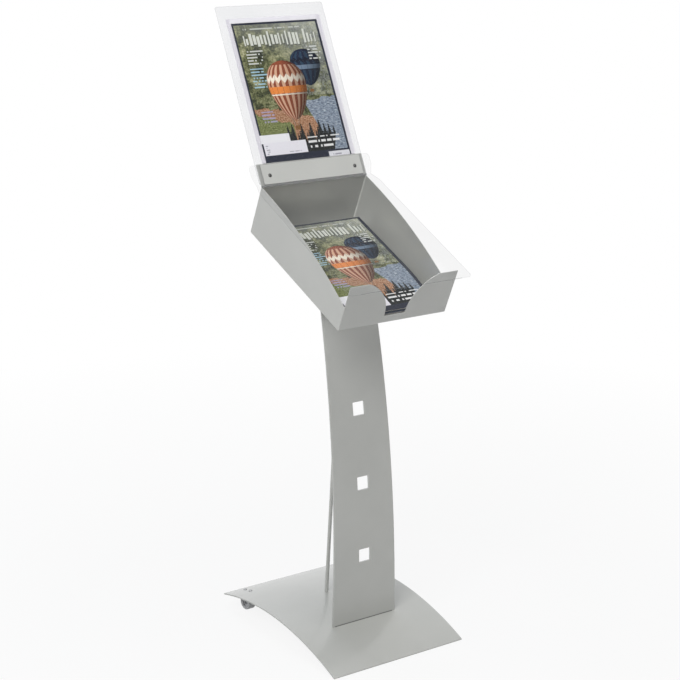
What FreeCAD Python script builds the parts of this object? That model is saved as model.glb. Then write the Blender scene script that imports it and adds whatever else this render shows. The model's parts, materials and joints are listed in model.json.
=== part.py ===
"""Free-standing rack for periodicals: bowed base, bowed column, sloping tray, clear lid and poster holder.

Row frame: +Z up, the reader stands on the -Y side, origin on the floor under the middle of the whole rack.
Three tilted frames carry the upper parts:
  tray frame     origin on the lower back edge of the tray, -Y runs down the floor to the front wall
  display frame  origin on the crease above the back wall, +Z runs up the flange, -Y faces the reader
  castor frame   origin on the underside of the base plate above each roller
"""
import FreeCAD, Part
import math
import os
import re

import Sketcher

Vector = FreeCAD.Vector
X_AXIS = Vector(1, 0, 0)

# ---------------------------------------------------------------- driving dimensions (mm, degrees)
SIZES = {
    "base": {
        "base_width": (324, "across the base plate"),
        "base_depth": (422, "front edge to tail, along the floor"),
        "base_gauge": (3, "base plate thickness"),
        "base_bow_radius": (650, "radius of the plate's underside"),
        "front_lift": (1, "front edge above the floor, on its glides"),
        "glide_length": (40, "glide, across the rack"),
        "glide_depth": (14, "glide, front to back"),
        "glide_inset": (14, "glide's end in from the side of the plate"),
        "glide_setback": (2, "glide behind the front edge"),
        "seat_gap": (0.05, "between a flat piece and a bowed one"),
    },
    "column": {
        "column_gauge": (4, "column panel thickness"),
        "column_foot_y": (127, "column centre line behind the front edge, at the plate"),
        "column_bow_radius": (2598, "radius of the column's centre line"),
        "column_foot_lean": (2.4, "how far the foot leans to the front"),
        "column_head_z": (778, "height of the column's top on its centre line"),
        "column_foot_width": (158, "width at the foot"),
        "column_head_width": (130, "width at the head"),
        "window_side": (28, "side of each square window"),
        "window_first": (188, "centre height of the lowest window"),
        "window_pitch": (155.7, "height from window to window"),
        "foot_flange_width": (108, "flange turned back at the foot"),
        "foot_flange_depth": (30, "flange, front to back"),
        "foot_flange_corner": (6, "corner radius of the flange"),
        "foot_screw_spread": (72, "between the two foot screws"),
        "foot_screw_back": (17, "screws behind the column's centre line"),
    },
    "stay": {
        "stay_diameter": (8, "rod"),
        "stay_foot_y": (264, "rod's foot behind the front edge"),
        "stay_seat": (0.5, "shoulder above the plate, at the rod's axis"),
        "spigot_diameter": (6, "threaded ends of the rod"),
        "spigot_length": (15, "threaded end beyond its shoulder"),
        "lug_below_head": (56, "lug's corner below the column's top"),
        "lug_reach": (15.8, "lug's corner to the rod's axis, along the shelf"),
        "lug_gauge": (3, "lug thickness"),
        "lug_width": (26, "lug, across the rack"),
        "lug_leg_up": (26, "leg against the column"),
        "lug_overhang": (9, "lug beyond the rod's axis"),
        "stay_nut_seat": (0.75, "lower nut below the plate, at the rod's axis"),
    },
    "tray": {
        "tray_tilt": (24.13, "slope of the floor"),
        "tray_width": (257, "over the side plates"),
        "tray_length": (343, "along the floor, over front and back walls"),
        "tray_gauge": (1.5, "tray sheet thickness"),
        "bend_radius": (1.5, "inside radius of the folds"),
        "back_height": (108, "floor's underside to the crease"),
        "front_height": (101.5, "floor's underside to the tops of the front tabs"),
        "side_back_height": (107, "side plate at the back"),
        "side_front_height": (53, "side plate at the front"),
        "side_top_radius": (1063, "curve of the side plate's top edge"),
        "notch_bottom": (17, "bottom of the thumb notch above the floor's underside"),
        "notch_bottom_width": (50, "thumb notch at its bottom"),
        "notch_top_width": (166, "thumb notch between the tabs"),
        "notch_radius": (90, "curve of the tabs beside the notch"),
        "tray_support": (161, "back edge to the column's centre line, along the floor"),
        "head_plate_gauge": (3, "head plate thickness"),
        "head_plate_width": (110, "head plate, across"),
        "head_plate_length": (160, "head plate, along the floor"),
        "head_plate_corner": (8, "cut corners of the head plate"),
        "stud_spread_x": (80, "between studs, across"),
        "stud_spread_y": (120, "between studs, along the floor"),
        "stud_length": (14, "stud below the floor"),
    },
    "display": {
        "display_lean": (25.76, "lean of the flange and the poster holder"),
        "flange_height": (48, "flange above the crease"),
        "flange_screw_x": (104, "flange screw from the centre"),
        "flange_screw_up": (22.4, "flange screw above the crease"),
        "back_pane_width": (261, "clear back pane"),
        "back_pane_gauge": (2, "clear back pane"),
        "back_pane_start": (6, "its lower edge above the crease"),
        "back_pane_top": (383.6, "its top edge above the crease"),
        "front_pane_width": (228, "clear front pane"),
        "front_pane_gauge": (1.5, "clear front pane"),
        "front_pane_top": (355, "its top edge above the crease"),
        "pane_corner": (4, "corner radius of the panes"),
        "pocket_depth": (2, "between the two panes"),
        "pocket_side_gap": (1.5, "poster to the spacer strip"),
        "spacer_width": (6, "spacer strip"),
        "card_width": (210, "A4 poster card"),
        "card_height": (297, "A4 poster card"),
        "card_gauge": (1.2, "poster card"),
        "rest_gap": (0.3, "between a loose piece and what it rests on"),
    },
    "lid": {
        "lid_width": (294, "clear lid and its band"),
        "lid_gauge": (1.5, "clear sheet"),
        "lid_length": (366, "crease to the front edge"),
        "lid_crease_width": (280, "lid at the crease"),
        "lid_flare": (22, "length over which the lid widens from the crease"),
        "lid_corner": (8, "corner radius of the lid"),
        "lid_crease_up": (2, "hinge line above the tray's crease"),
        "hinge_gap": (0.6, "each half of the lid to the hinge line"),
        "band_top_gap": (1.5, "top of the band below the flange's top"),
        "band_pane_gap": (2.5, "band's top to the front pane"),
    },
    "castors": {
        "castor_setback": (29, "roller's axis ahead of the tail"),
        "castor_inset": (43, "middle of the roller in from the side of the plate"),
        "roller_diameter": (34, "moulded roller"),
        "roller_width": (20, "moulded roller"),
        "roller_headroom": (3.6, "roller's top to the fork's top plate, measured upright"),
        "axle_diameter": (5, "axle"),
        "axle_play": (0.05, "bore to axle, on the radius"),
        "axle_end": (1.2, "axle beyond each fork leg"),
        "fork_gauge": (2, "fork sheet"),
        "fork_side_gap": (1.2, "fork leg to the roller"),
        "fork_depth": (34, "fork top plate, front to back"),
        "fork_nose": (6, "fork leg beyond the axle's middle"),
        "fork_nose_cut": (3, "cut corners of the leg's end"),
        "castor_screw_pitch": (22, "between a castor's two screws"),
    },
    "fasteners": {
        "small_screw": (4, "screws of the flange and the castors"),
        "stud_diameter": (5, "tray studs"),
        "large_screw": (6, "column foot screws"),
        "hole_play": (0.3, "hole to screw, on the radius"),
        "thread_play": (0.05, "nut to screw, on the radius"),
        "nut_height": (0.8, "nut height over its thread diameter"),
        "nut_flats": (1.7, "nut across flats over its thread diameter"),
        "head_over": (2, "screw head diameter over its thread diameter"),
        "head_height": (0.55, "screw head height over its thread diameter"),
        "screw_end": (1.5, "thread beyond the nut"),
    },
    "magazines": {
        "copies": (8, "magazines in the pile"),
        "copy_width": (210, "A4 magazine"),
        "copy_height": (297, "A4 magazine"),
        "copy_gauge": (3.4, "one magazine"),
        "copy_shift": (1, "how far the copies lie out of line"),
        "copy_spine_bevel": (0.8, "bevel of the spine"),
        "top_copy_back": (6, "top copy behind the others"),
        "pile_offset": (4, "pile to the right of the centre"),
    },
}

# Sizes that follow from the ones above. y_ and z_ places are in the row frame unless the name says more.
FOLLOWING = {
    "castor_x": "base_width / 2 - castor_inset",
    "castor_y": "base_depth - castor_setback",
    "castor_height": "roller_diameter + roller_headroom + fork_gauge",
    "castor_rise": "castor_height - front_lift",
    "base_crest": "castor_y / 2"
                  " + castor_rise * sqrt(base_bow_radius ^ 2 / (castor_y ^ 2 + castor_rise ^ 2) - 1 / 4)",
    "base_top_radius": "base_bow_radius + base_gauge",
    "bow_centre_z": "front_lift - sqrt(base_bow_radius ^ 2 - base_crest ^ 2)",
    "column_foot_z": "bow_centre_z + sqrt(base_top_radius ^ 2 - (column_foot_y - base_crest) ^ 2)",
    "arc_centre_y": "column_foot_y + column_bow_radius * cos(column_foot_lean)",
    "arc_centre_z": "column_foot_z + column_bow_radius * sin(column_foot_lean)",
    "arc_front_radius": "column_bow_radius + column_gauge / 2",
    "arc_rear_radius": "column_bow_radius - column_gauge / 2",
    "column_head_y": "arc_centre_y - sqrt(column_bow_radius ^ 2 - (column_head_z - arc_centre_z) ^ 2)",
    "head_lean": "asin((column_head_z - arc_centre_z) / column_bow_radius) / 1 deg",
    "head_half_cut": "column_gauge / 2 / cos(tray_tilt - head_lean)",
    "foot_front_y": "arc_centre_y - sqrt(arc_front_radius ^ 2 - (column_foot_z - arc_centre_z) ^ 2)",
    "foot_rear_y": "arc_centre_y - sqrt(arc_rear_radius ^ 2 - (column_foot_z - arc_centre_z) ^ 2)",
    "foot_front_z": "bow_centre_z + sqrt(base_top_radius ^ 2 - (foot_front_y - base_crest) ^ 2) + seat_gap",
    "foot_rear_z": "bow_centre_z + sqrt(base_top_radius ^ 2 - (foot_rear_y - base_crest) ^ 2) + seat_gap",
    "foot_seat_y": "column_foot_y + foot_screw_back",
    "foot_seat_z": "bow_centre_z + sqrt(base_top_radius ^ 2 - (foot_seat_y - base_crest) ^ 2)",
    "foot_seat_tilt": "asin((base_crest - foot_seat_y) / base_top_radius) / 1 deg",
    "stay_foot_z": "bow_centre_z + sqrt(base_top_radius ^ 2 - (stay_foot_y - base_crest) ^ 2)",
    "lug_z": "column_head_z - lug_below_head",
    "lug_y": "arc_centre_y - sqrt(arc_rear_radius ^ 2 - (lug_z - arc_centre_z) ^ 2)",
    "lug_lean": "asin((lug_z - arc_centre_z) / arc_rear_radius) / 1 deg",
    "stay_foot_to_lug": "sqrt((stay_foot_y - lug_y) ^ 2 + (lug_z - stay_foot_z) ^ 2)",
    "stay_lean": "(atan((stay_foot_y - lug_y) / (lug_z - stay_foot_z))"
                 " - asin(lug_reach / stay_foot_to_lug)) / 1 deg",
    "lug_angle": "lug_lean + stay_lean",
    "stay_rise": "(stay_foot_y - lug_y) * sin(stay_lean) + (lug_z - stay_foot_z) * cos(stay_lean)",
    "tray_y": "column_head_y + tray_support * cos(tray_tilt) - head_plate_gauge * sin(tray_tilt)",
    "tray_z": "column_head_z + tray_support * sin(tray_tilt) + head_plate_gauge * cos(tray_tilt)",
    "fold_angle": "tray_tilt + display_lean",
    "crease_y": "tray_y - tray_gauge * cos(tray_tilt) - back_height * sin(tray_tilt)",
    "crease_z": "tray_z - tray_gauge * sin(tray_tilt) + back_height * cos(tray_tilt)",
    "hinge_y": "crease_y + lid_crease_up * sin(display_lean) - lid_gauge * cos(display_lean)",
    "hinge_z": "crease_z + lid_crease_up * cos(display_lean) + lid_gauge * sin(display_lean)",
    "hinge_height": "(hinge_z - tray_z) * cos(tray_tilt) - (hinge_y - tray_y) * sin(tray_tilt)",
    "lid_fall": "asin((hinge_height - lid_gauge - front_height - rest_gap) / tray_length) / 1 deg",
    "lid_tilt": "tray_tilt + lid_fall",
    "band_top": "flange_height - band_top_gap",
    "front_pane_start": "band_top + band_pane_gap",
    "castor_tilt": "asin((castor_y - base_crest) / base_bow_radius) / 1 deg",
    "axle_drop": "castor_height - roller_diameter / 2",
    "axle_local_y": "axle_drop * sin(castor_tilt)",
    "axle_local_z": "-axle_drop * cos(castor_tilt)",
    "fork_inside": "roller_width / 2 + fork_side_gap",
    "fork_seat": "seat_gap + fork_depth ^ 2 / 8 / base_bow_radius",
    "front_reach": "hinge_y - lid_length * cos(lid_tilt)",
    "rear_reach": "crease_y + back_pane_top * sin(display_lean)"
                  " + (tray_gauge + back_pane_gauge) * cos(display_lean)",
    "origin_y": "(front_reach + rear_reach) / 2",
}

doc = FreeCAD.newDocument("PeriodicalRack")
sheet = doc.addObject("Spreadsheet::Sheet", "Sizes")


def fill_sheet():
    """Driving dimensions in columns A to C, one block per group, then the sizes that follow from them."""
    row = 1
    for group, sizes in SIZES.items():
        sheet.set(f"A{row}", group)
        row += 1
        for name, (size, meaning) in sizes.items():
            sheet.set(f"A{row}", name)
            sheet.set(f"B{row}", str(size))
            sheet.set(f"C{row}", meaning)
            sheet.setAlias(f"B{row}", name)
            row += 1
    for name, formula in FOLLOWING.items():
        sheet.set(f"A{row}", name)
        sheet.set(f"B{row}", "=" + formula)
        sheet.setAlias(f"B{row}", name)
        row += 1
    doc.recompute()


ALIASES = {name for sizes in SIZES.values() for name in sizes} | set(FOLLOWING)


def formula(text):
    """The same formula with every alias written as a reference to the sheet."""
    return re.sub(r"[a-z_]+", lambda word: f"Sizes.{word[0]}" if word[0] in ALIASES else word[0], str(text))


def size(text):
    """What a formula of aliases comes to."""
    return float(sheet.evalExpression(formula(text)))


def bind(thing, prop, text):
    """Ties a property to a formula of the sheet's aliases."""
    thing.setExpression(prop, formula(text))


# ---------------------------------------------------------------- sketches and features
def place(thing, x="0", y="0", z="0", tilt=None):
    """Puts a sub-part at a place in the row frame, tipped about X; y counts from the base's front edge."""
    along = f"{y} - origin_y"
    turn = FreeCAD.Rotation(X_AXIS, size(tilt)) if tilt else FreeCAD.Rotation()
    thing.Placement = FreeCAD.Placement(Vector(size(x), size(along), size(z)), turn)
    bind(thing, "Placement.Base.x", x)
    bind(thing, "Placement.Base.y", along)
    bind(thing, "Placement.Base.z", z)
    if tilt:
        bind(thing, "Placement.Rotation.Angle", tilt)


def in_tray(thing, x="0"):
    """Puts a sub-part's frame on the tray frame."""
    place(thing, x, "tray_y", "tray_z", "tray_tilt")


def in_display(thing, x="0"):
    """Puts a sub-part's frame on the display frame."""
    place(thing, x, "crease_y", "crease_z", "-display_lean")


def new_body(label):
    body = doc.addObject("PartDesign::Body", label)
    body.Label = label
    body.AllowCompound = True
    return body


def new_sketch(body, name, plane, shift=(), tilt=None):
    """A sketch on one of the body's own planes, moved along its axes and tipped about its x axis."""
    sketch = body.newObject("Sketcher::SketchObject", f"{body.Name}_{name}")
    origin_plane = [face for face in body.Origin.OriginFeatures if face.Role == plane][0]
    sketch.AttachmentSupport = (origin_plane, "")
    sketch.MapMode = "FlatFace"
    if tilt:
        sketch.AttachmentOffset = FreeCAD.Placement(Vector(), FreeCAD.Rotation(X_AXIS, size(tilt)))
        bind(sketch, "AttachmentOffset.Rotation.Angle", tilt)
    for axis, text in zip("xyz", shift):
        bind(sketch, f"AttachmentOffset.Base.{axis}", text)
    return sketch


def pin_point(sketch, piece, end, x, y):
    """Ties one point of a sketch's piece to two formulas."""
    for kind, text in (("DistanceX", x), ("DistanceY", y)):
        number = sketch.addConstraint(Sketcher.Constraint(kind, -1, 1, piece, end, size(text)))
        bind(sketch, f"Constraints[{number}]", text)


def arc_between(start, finish, radius, side):
    """The short arc from start to finish; its centre lies left of the way for side 1, right for -1."""
    middle = (start + finish) * 0.5
    half = (finish - start).Length / 2
    left = Vector(start.y - finish.y, finish.x - start.x, 0).normalize()
    centre = middle + left * side * math.sqrt(radius ** 2 - half ** 2)
    first, last = (start, finish) if side > 0 else (finish, start)
    begin = math.atan2(first.y - centre.y, first.x - centre.x)
    turn = (math.atan2(last.y - centre.y, last.x - centre.x) - begin) % (2 * math.pi)
    return Part.ArcOfCircle(Part.Circle(centre, Vector(0, 0, 1), radius), begin, begin + turn)


def outline(sketch, corners):
    """A closed outline. Each corner is (x, y), and (x, y, radius, side) where an arc leads on from it."""
    points = [Vector(size(corner[0]), size(corner[1]), 0) for corner in corners]
    pieces = []
    for index, corner in enumerate(corners):
        start = points[index]
        finish = points[(index + 1) % len(points)]
        if len(corner) == 2:
            pieces.append(sketch.addGeometry(Part.LineSegment(start, finish), False))
            continue
        pieces.append(sketch.addGeometry(arc_between(start, finish, size(corner[2]), corner[3]), False))
    ends = [(2, 1) if len(corner) == 4 and corner[3] < 0 else (1, 2) for corner in corners]
    for index, corner in enumerate(corners):
        follower = (index + 1) % len(pieces)
        sketch.addConstraint(Sketcher.Constraint(
            "Coincident", pieces[index], ends[index][1], pieces[follower], ends[follower][0]))
        pin_point(sketch, pieces[index], ends[index][0], corner[0], corner[1])
        if len(corner) == 4:
            number = sketch.addConstraint(Sketcher.Constraint("Radius", pieces[index], size(corner[2])))
            bind(sketch, f"Constraints[{number}]", corner[2])


def circle(sketch, x, y, diameter):
    shape = Part.Circle(Vector(size(x), size(y), 0), Vector(0, 0, 1), size(diameter) / 2)
    ring = sketch.addGeometry(shape, False)
    pin_point(sketch, ring, 3, x, y)
    number = sketch.addConstraint(Sketcher.Constraint("Diameter", ring, size(diameter)))
    bind(sketch, f"Constraints[{number}]", diameter)


def hexagon(sketch, x, y, flats):
    """A nut's outline, with two corners on the line through its centre across the rack."""
    out = f"({flats}) / sqrt(3)"
    corners = [(f"{x} + {out}", y), (f"{x} + {out} / 2", f"{y} + ({flats}) / 2"),
               (f"{x} - {out} / 2", f"{y} + ({flats}) / 2"), (f"{x} - {out}", y),
               (f"{x} - {out} / 2", f"{y} - ({flats}) / 2"), (f"{x} + {out} / 2", f"{y} - ({flats}) / 2")]
    outline(sketch, corners)


def rectangle(sketch, x_low, x_high, y_low, y_high, corner=None, cut=False):
    """A rectangle, with rounded or cut corners where their size is given."""
    if not corner:
        outline(sketch, [(x_low, y_low), (x_high, y_low), (x_high, y_high), (x_low, y_high)])
        return
    turn = () if cut else (corner, 1)
    outline(sketch, [
        (f"{x_low} + {corner}", y_low), (f"{x_high} - {corner}", y_low, *turn),
        (x_high, f"{y_low} + {corner}"), (x_high, f"{y_high} - {corner}", *turn),
        (f"{x_high} - {corner}", y_high), (f"{x_low} + {corner}", y_high, *turn),
        (x_low, f"{y_high} - {corner}"), (x_low, f"{y_low} + {corner}", *turn)])


def feature(body, kind, sketch, length, both_ways=False, backwards=False):
    """A pad or pocket of one sketch, to one side of it or half to each."""
    made = body.newObject(f"PartDesign::{kind}", f"{sketch.Name}_{kind.lower()}")
    made.Profile = sketch
    bind(made, "Length", length)
    made.SideType = "Symmetric" if both_ways else "One side"
    made.Reversed = backwards
    body.Tip = made
    doc.recompute()
    return made


def pad(body, sketch, length, both_ways=False, backwards=False):
    return feature(body, "Pad", sketch, length, both_ways, backwards)


def pocket(body, sketch, length, both_ways=False, backwards=False):
    """A pocket, with a check that it took something away."""
    before = body.Shape.Volume
    made = feature(body, "Pocket", sketch, length, both_ways, backwards)
    if body.Shape.Volume > before - 1e-6:
        raise RuntimeError(f"{made.Name} cuts nothing")
    return made


def round_edges(body, name, radius, wanted):
    """Fillets the edges whose middle point the caller's test accepts."""
    before = body.Tip
    chosen = []
    for index, edge in enumerate(before.Shape.Edges):
        middle = edge.valueAt((edge.FirstParameter + edge.LastParameter) / 2)
        if wanted(edge, middle):
            chosen.append(f"Edge{index + 1}")
    if not chosen:
        raise RuntimeError(f"{body.Name} {name}: no edge to round")
    made = body.newObject("PartDesign::Fillet", f"{body.Name}_{name}")
    made.Base = (before, chosen)
    bind(made, "Radius", radius)
    body.Tip = made
    doc.recompute()


def along_x(edge):
    """Whether an edge runs straight across the rack."""
    if not isinstance(edge.Curve, Part.Line):
        return False
    return abs(edge.Curve.Direction.x) > 0.999


def near(middle, y, z):
    """Whether a point lies on the line across the rack through (y, z)."""
    return math.hypot(middle.y - size(y), middle.z - size(z)) < 0.01


def stack_group(label, plane, points, steps, hexagonal=False, bore=None):
    """Like pieces at several points, each a row of round or hexagonal steps (width, start, length)."""
    body = new_body(label)
    for number, (width, start, length) in enumerate(steps):
        sketch = new_sketch(body, f"step_{number}", plane, ("0", "0", start))
        for x, y in points:
            if hexagonal:
                hexagon(sketch, x, y, width)
            else:
                circle(sketch, x, y, width)
            if bore:
                circle(sketch, x, y, bore)
        pad(body, sketch, length)
    return body


def nuts(label, plane, points, thread, *starts):
    """A nut at every point, and at every start along the thread."""
    steps = [(f"{thread} * nut_flats", start, f"{thread} * nut_height") for start in starts]
    return stack_group(label, plane, points, steps, hexagonal=True, bore=f"{thread} + 2 * thread_play")


# ---------------------------------------------------------------- base
def make_base_plate():
    body = new_body("base_plate")
    side = new_sketch(body, "side", "YZ_Plane")
    tail_low = "bow_centre_z + sqrt(base_bow_radius ^ 2 - (base_depth - base_crest) ^ 2)"
    over = "base_top_radius / base_bow_radius"
    outline(side, [
        ("0", "front_lift"), (
            f"base_crest - base_crest * {over}",
            f"bow_centre_z + (front_lift - bow_centre_z) * {over}", "base_top_radius", -1),
        (f"base_crest + (base_depth - base_crest) * {over}",
         f"bow_centre_z + ({tail_low} - bow_centre_z) * {over}"),
        ("base_depth", tail_low, "base_bow_radius", 1)])
    pad(body, side, "base_width", both_ways=True)
    foot_holes = new_sketch(body, "foot_holes", "XY_Plane",
                            ("0", "foot_seat_y", "foot_seat_z"), "foot_seat_tilt")
    for sign in ("-", ""):
        circle(foot_holes, f"{sign}foot_screw_spread / 2", "0", "large_screw + 2 * hole_play")
    pocket(body, foot_holes, "4 * base_gauge", both_ways=True)
    stay_hole = new_sketch(body, "stay_hole", "XY_Plane", ("0", "stay_foot_y", "stay_foot_z"), "stay_lean")
    circle(stay_hole, "0", "0", "spigot_diameter + 2 * hole_play")
    pocket(body, stay_hole, "4 * base_gauge", both_ways=True)
    castor_holes = new_sketch(body, "castor_holes", "XY_Plane",
                              ("0", "castor_y", "castor_height"), "-castor_tilt")
    for x in ("-castor_x", "castor_x"):
        for sign in ("-", ""):
            circle(castor_holes, x, f"{sign}castor_screw_pitch / 2", "small_screw + 2 * hole_play")
    pocket(body, castor_holes, "6 * base_gauge", both_ways=True)
    place(body)
    return body


def make_front_glides():
    """Two wedges that fill the corner between the sloping front edge and the floor."""
    body = new_body("front_glides")
    rear = "glide_setback + glide_depth"
    under = "bow_centre_z - seat_gap + sqrt(base_bow_radius ^ 2 - ({} - base_crest) ^ 2)"
    for number, sign in enumerate(("-", "")):
        middle = f"{sign}(base_width / 2 - glide_inset - glide_length / 2)"
        side = new_sketch(body, f"side_{number}", "YZ_Plane", ("0", "0", middle))
        outline(side, [("glide_setback", "0"), (rear, "0"),
                       (rear, under.format(rear), "base_bow_radius", 1),
                       ("glide_setback", under.format("glide_setback"))])
        pad(body, side, "glide_length", both_ways=True)
    place(body)
    return body


# ---------------------------------------------------------------- column and stay
def make_column_panel():
    body = new_body("column_panel")
    side = new_sketch(body, "side", "YZ_Plane")
    outline(side, [
        ("foot_front_y", "foot_front_z"), ("foot_rear_y", "foot_rear_z", "arc_rear_radius", -1),
        ("column_head_y + head_half_cut * cos(tray_tilt)", "column_head_z + head_half_cut * sin(tray_tilt)"),
        ("column_head_y - head_half_cut * cos(tray_tilt)", "column_head_z - head_half_cut * sin(tray_tilt)",
         "arc_front_radius", 1)])
    pad(body, side, "column_foot_width", both_ways=True)
    make_column_taper(body)
    windows = new_sketch(body, "windows", "XZ_Plane")
    for number in range(3):
        middle = f"window_first + {number} * window_pitch"
        rectangle(windows, "-window_side / 2", "window_side / 2",
                  f"{middle} - window_side / 2", f"{middle} + window_side / 2")
    pocket(body, windows, "2 * base_depth", both_ways=True)
    flange = new_sketch(body, "flange", "XY_Plane",
                        ("0", "foot_seat_y", "foot_seat_z + seat_gap"), "foot_seat_tilt")
    rectangle(flange, "-foot_flange_width / 2", "foot_flange_width / 2",
              "-foot_screw_back", "foot_flange_depth - foot_screw_back + column_gauge / 2")
    for sign in ("-", ""):
        circle(flange, f"{sign}foot_screw_spread / 2", "0", "large_screw + 2 * hole_play")
    pad(body, flange, "column_gauge")
    round_flange_corners(body)
    place(body)
    return body


def make_column_taper(body):
    """Trims both long edges, so the panel narrows evenly from foot to head."""
    slope = "(column_foot_width - column_head_width) / 2 / (column_head_z - column_foot_z)"
    above = "column_head_z + column_gauge * 2"
    trim = new_sketch(body, "taper", "XZ_Plane")
    for sign in ("-", ""):
        outline(trim, [
            (f"{sign}(column_foot_width / 2 + {slope} * column_gauge)", "column_foot_z - column_gauge"),
            (f"{sign}(column_foot_width / 2 + column_gauge)", "column_foot_z - column_gauge"),
            (f"{sign}(column_foot_width / 2 + column_gauge)", above),
            (f"{sign}(column_head_width / 2 - {slope} * column_gauge * 2)", above)])
    pocket(body, trim, "2 * base_depth", both_ways=True)


def round_flange_corners(body):
    """Rounds the two free corners of the foot flange."""
    half = size("foot_flange_width / 2")
    rear = size("foot_seat_y")
    gauge = size("column_gauge")

    def is_corner(edge, middle):
        upright = abs(edge.Length - gauge) < 0.1
        return upright and abs(abs(middle.x) - half) < 0.01 and middle.y > rear
    round_edges(body, "flange_corners", "foot_flange_corner", is_corner)


def make_foot_fasteners():
    points = [("-foot_screw_spread / 2", "0"), ("foot_screw_spread / 2", "0")]
    under = "-(base_gauge + seat_gap + large_screw * nut_height)"
    top = "column_gauge + 2 * seat_gap"
    screws = stack_group("foot_screws", "XY_Plane", points, [
        ("large_screw", f"{under} - screw_end", f"-({under}) + screw_end + {top}"),
        ("large_screw * head_over", top, "large_screw * head_height")])
    group = [screws, nuts("foot_nuts", "XY_Plane", points, "large_screw", under)]
    for body in group:
        place(body, "0", "foot_seat_y", "foot_seat_z", "foot_seat_tilt")
    return group


def make_stay():
    """The rod and its fasteners, in a frame that stands on the base plate and leans with the rod."""
    rod = new_body("rear_stay_rod")
    line = [("0", "0")]
    steps = [("spigot_diameter", "-spigot_length", "spigot_length + stay_seat"),
             ("stay_diameter", "stay_seat", "stay_rise - stay_seat"),
             ("spigot_diameter", "stay_rise", "spigot_length")]
    for number, (width, start, length) in enumerate(steps):
        step = new_sketch(rod, f"step_{number}", "XY_Plane", ("0", "0", start))
        circle(step, "0", "0", width)
        pad(rod, step, length)
    low = "-(base_gauge + stay_nut_seat + spigot_diameter * nut_height)"
    group = [rod, nuts("stay_nuts", "XY_Plane", line, "spigot_diameter", low, "stay_rise + lug_gauge")]
    for body in group:
        place(body, "0", "stay_foot_y", "stay_foot_z", "stay_lean")
    return group


def make_stay_lug():
    """Bent lug on the column's back; its shelf is square to the rod, its upright leg lies on the column."""
    body = new_body("stay_lug")
    side = new_sketch(body, "side", "YZ_Plane")
    reach = "lug_reach + lug_overhang"
    outline(side, [
        ("seat_gap", "0"),
        (f"({reach}) * cos(lug_angle)", f"({reach}) * sin(lug_angle)"),
        (f"({reach}) * cos(lug_angle) - lug_gauge * sin(lug_angle)",
         f"({reach}) * sin(lug_angle) + lug_gauge * cos(lug_angle)"),
        ("seat_gap + lug_gauge", "lug_gauge / cos(lug_angle) + (seat_gap + lug_gauge) * tan(lug_angle)"),
        ("seat_gap + lug_gauge", "lug_leg_up"),
        ("seat_gap", "lug_leg_up")])
    pad(body, side, "lug_width", both_ways=True)
    hole = new_sketch(body, "hole", "XY_Plane", ("0", "0", "0"), "lug_angle")
    circle(hole, "0", "lug_reach", "spigot_diameter + 2 * hole_play")
    pocket(body, hole, "4 * lug_gauge", both_ways=True)
    place(body, "0", "lug_y", "lug_z", "-lug_lean")
    return body


# ---------------------------------------------------------------- tray
def stud_points():
    """The four studs, two each side of the column."""
    return [(f"{x}stud_spread_x / 2", f"-tray_support {y} stud_spread_y / 2")
            for x in ("-", "") for y in "-+"]


def make_head_plate():
    body = new_body("head_plate")
    plate = new_sketch(body, "plate", "XY_Plane", ("0", "0", "-head_plate_gauge"))
    rectangle(plate, "-head_plate_width / 2", "head_plate_width / 2",
              "-tray_support - head_plate_length / 2", "-tray_support + head_plate_length / 2",
              "head_plate_corner", cut=True)
    for x, y in stud_points():
        circle(plate, x, y, "stud_diameter + 2 * hole_play")
    pad(body, plate, "head_plate_gauge")
    in_tray(body)
    return body


def make_tray_sheet():
    """One blank: front wall, floor, back wall, and the flange that leans back above the crease."""
    body = new_body("tray_sheet")
    side = new_sketch(body, "side", "YZ_Plane")
    flange_y = "flange_height * sin(fold_angle) - tray_gauge"
    flange_z = "back_height + flange_height * cos(fold_angle)"
    rear_crease = "back_height - tray_gauge * tan(fold_angle / 2)"
    outline(side, [
        ("-tray_length", "front_height"), ("-tray_length", "0"), ("0", "0"), ("0", rear_crease),
        (f"{flange_y} + tray_gauge * cos(fold_angle)", f"{flange_z} - tray_gauge * sin(fold_angle)"),
        (flange_y, flange_z), ("-tray_gauge", "back_height"), ("-tray_gauge", "tray_gauge"),
        ("tray_gauge - tray_length", "tray_gauge"), ("tray_gauge - tray_length", "front_height")])
    pad(body, side, "tray_width", both_ways=True)
    outside = [("-tray_length", "0"), ("0", "0"), ("-tray_gauge", "back_height")]
    inside = [("-tray_gauge", "tray_gauge"), ("tray_gauge - tray_length", "tray_gauge"), ("0", rear_crease)]
    round_edges(body, "outer_bends", "bend_radius + tray_gauge",
                lambda edge, middle: along_x(edge) and any(near(middle, y, z) for y, z in outside))
    round_edges(body, "inner_bends", "bend_radius",
                lambda edge, middle: along_x(edge) and any(near(middle, y, z) for y, z in inside))
    notch = new_sketch(body, "notch", "XZ_Plane", ("0", "0", "tray_length - tray_gauge / 2"))
    outline(notch, [
        ("-notch_bottom_width / 2", "notch_bottom"),
        ("notch_bottom_width / 2", "notch_bottom", "notch_radius", -1),
        ("notch_top_width / 2", "front_height"), ("notch_top_width / 2", "front_height + tray_gauge"),
        ("-notch_top_width / 2", "front_height + tray_gauge"),
        ("-notch_top_width / 2", "front_height", "notch_radius", -1)])
    pocket(body, notch, "3 * tray_gauge", both_ways=True)
    flange_holes = new_sketch(body, "flange_holes", "XZ_Plane",
                              ("0", "back_height", "tray_gauge"), "-fold_angle")
    for sign in ("-", ""):
        circle(flange_holes, f"{sign}flange_screw_x", "flange_screw_up", "small_screw + 2 * hole_play")
    pocket(body, flange_holes, "4 * tray_gauge", both_ways=True)
    in_tray(body)
    return body


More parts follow.
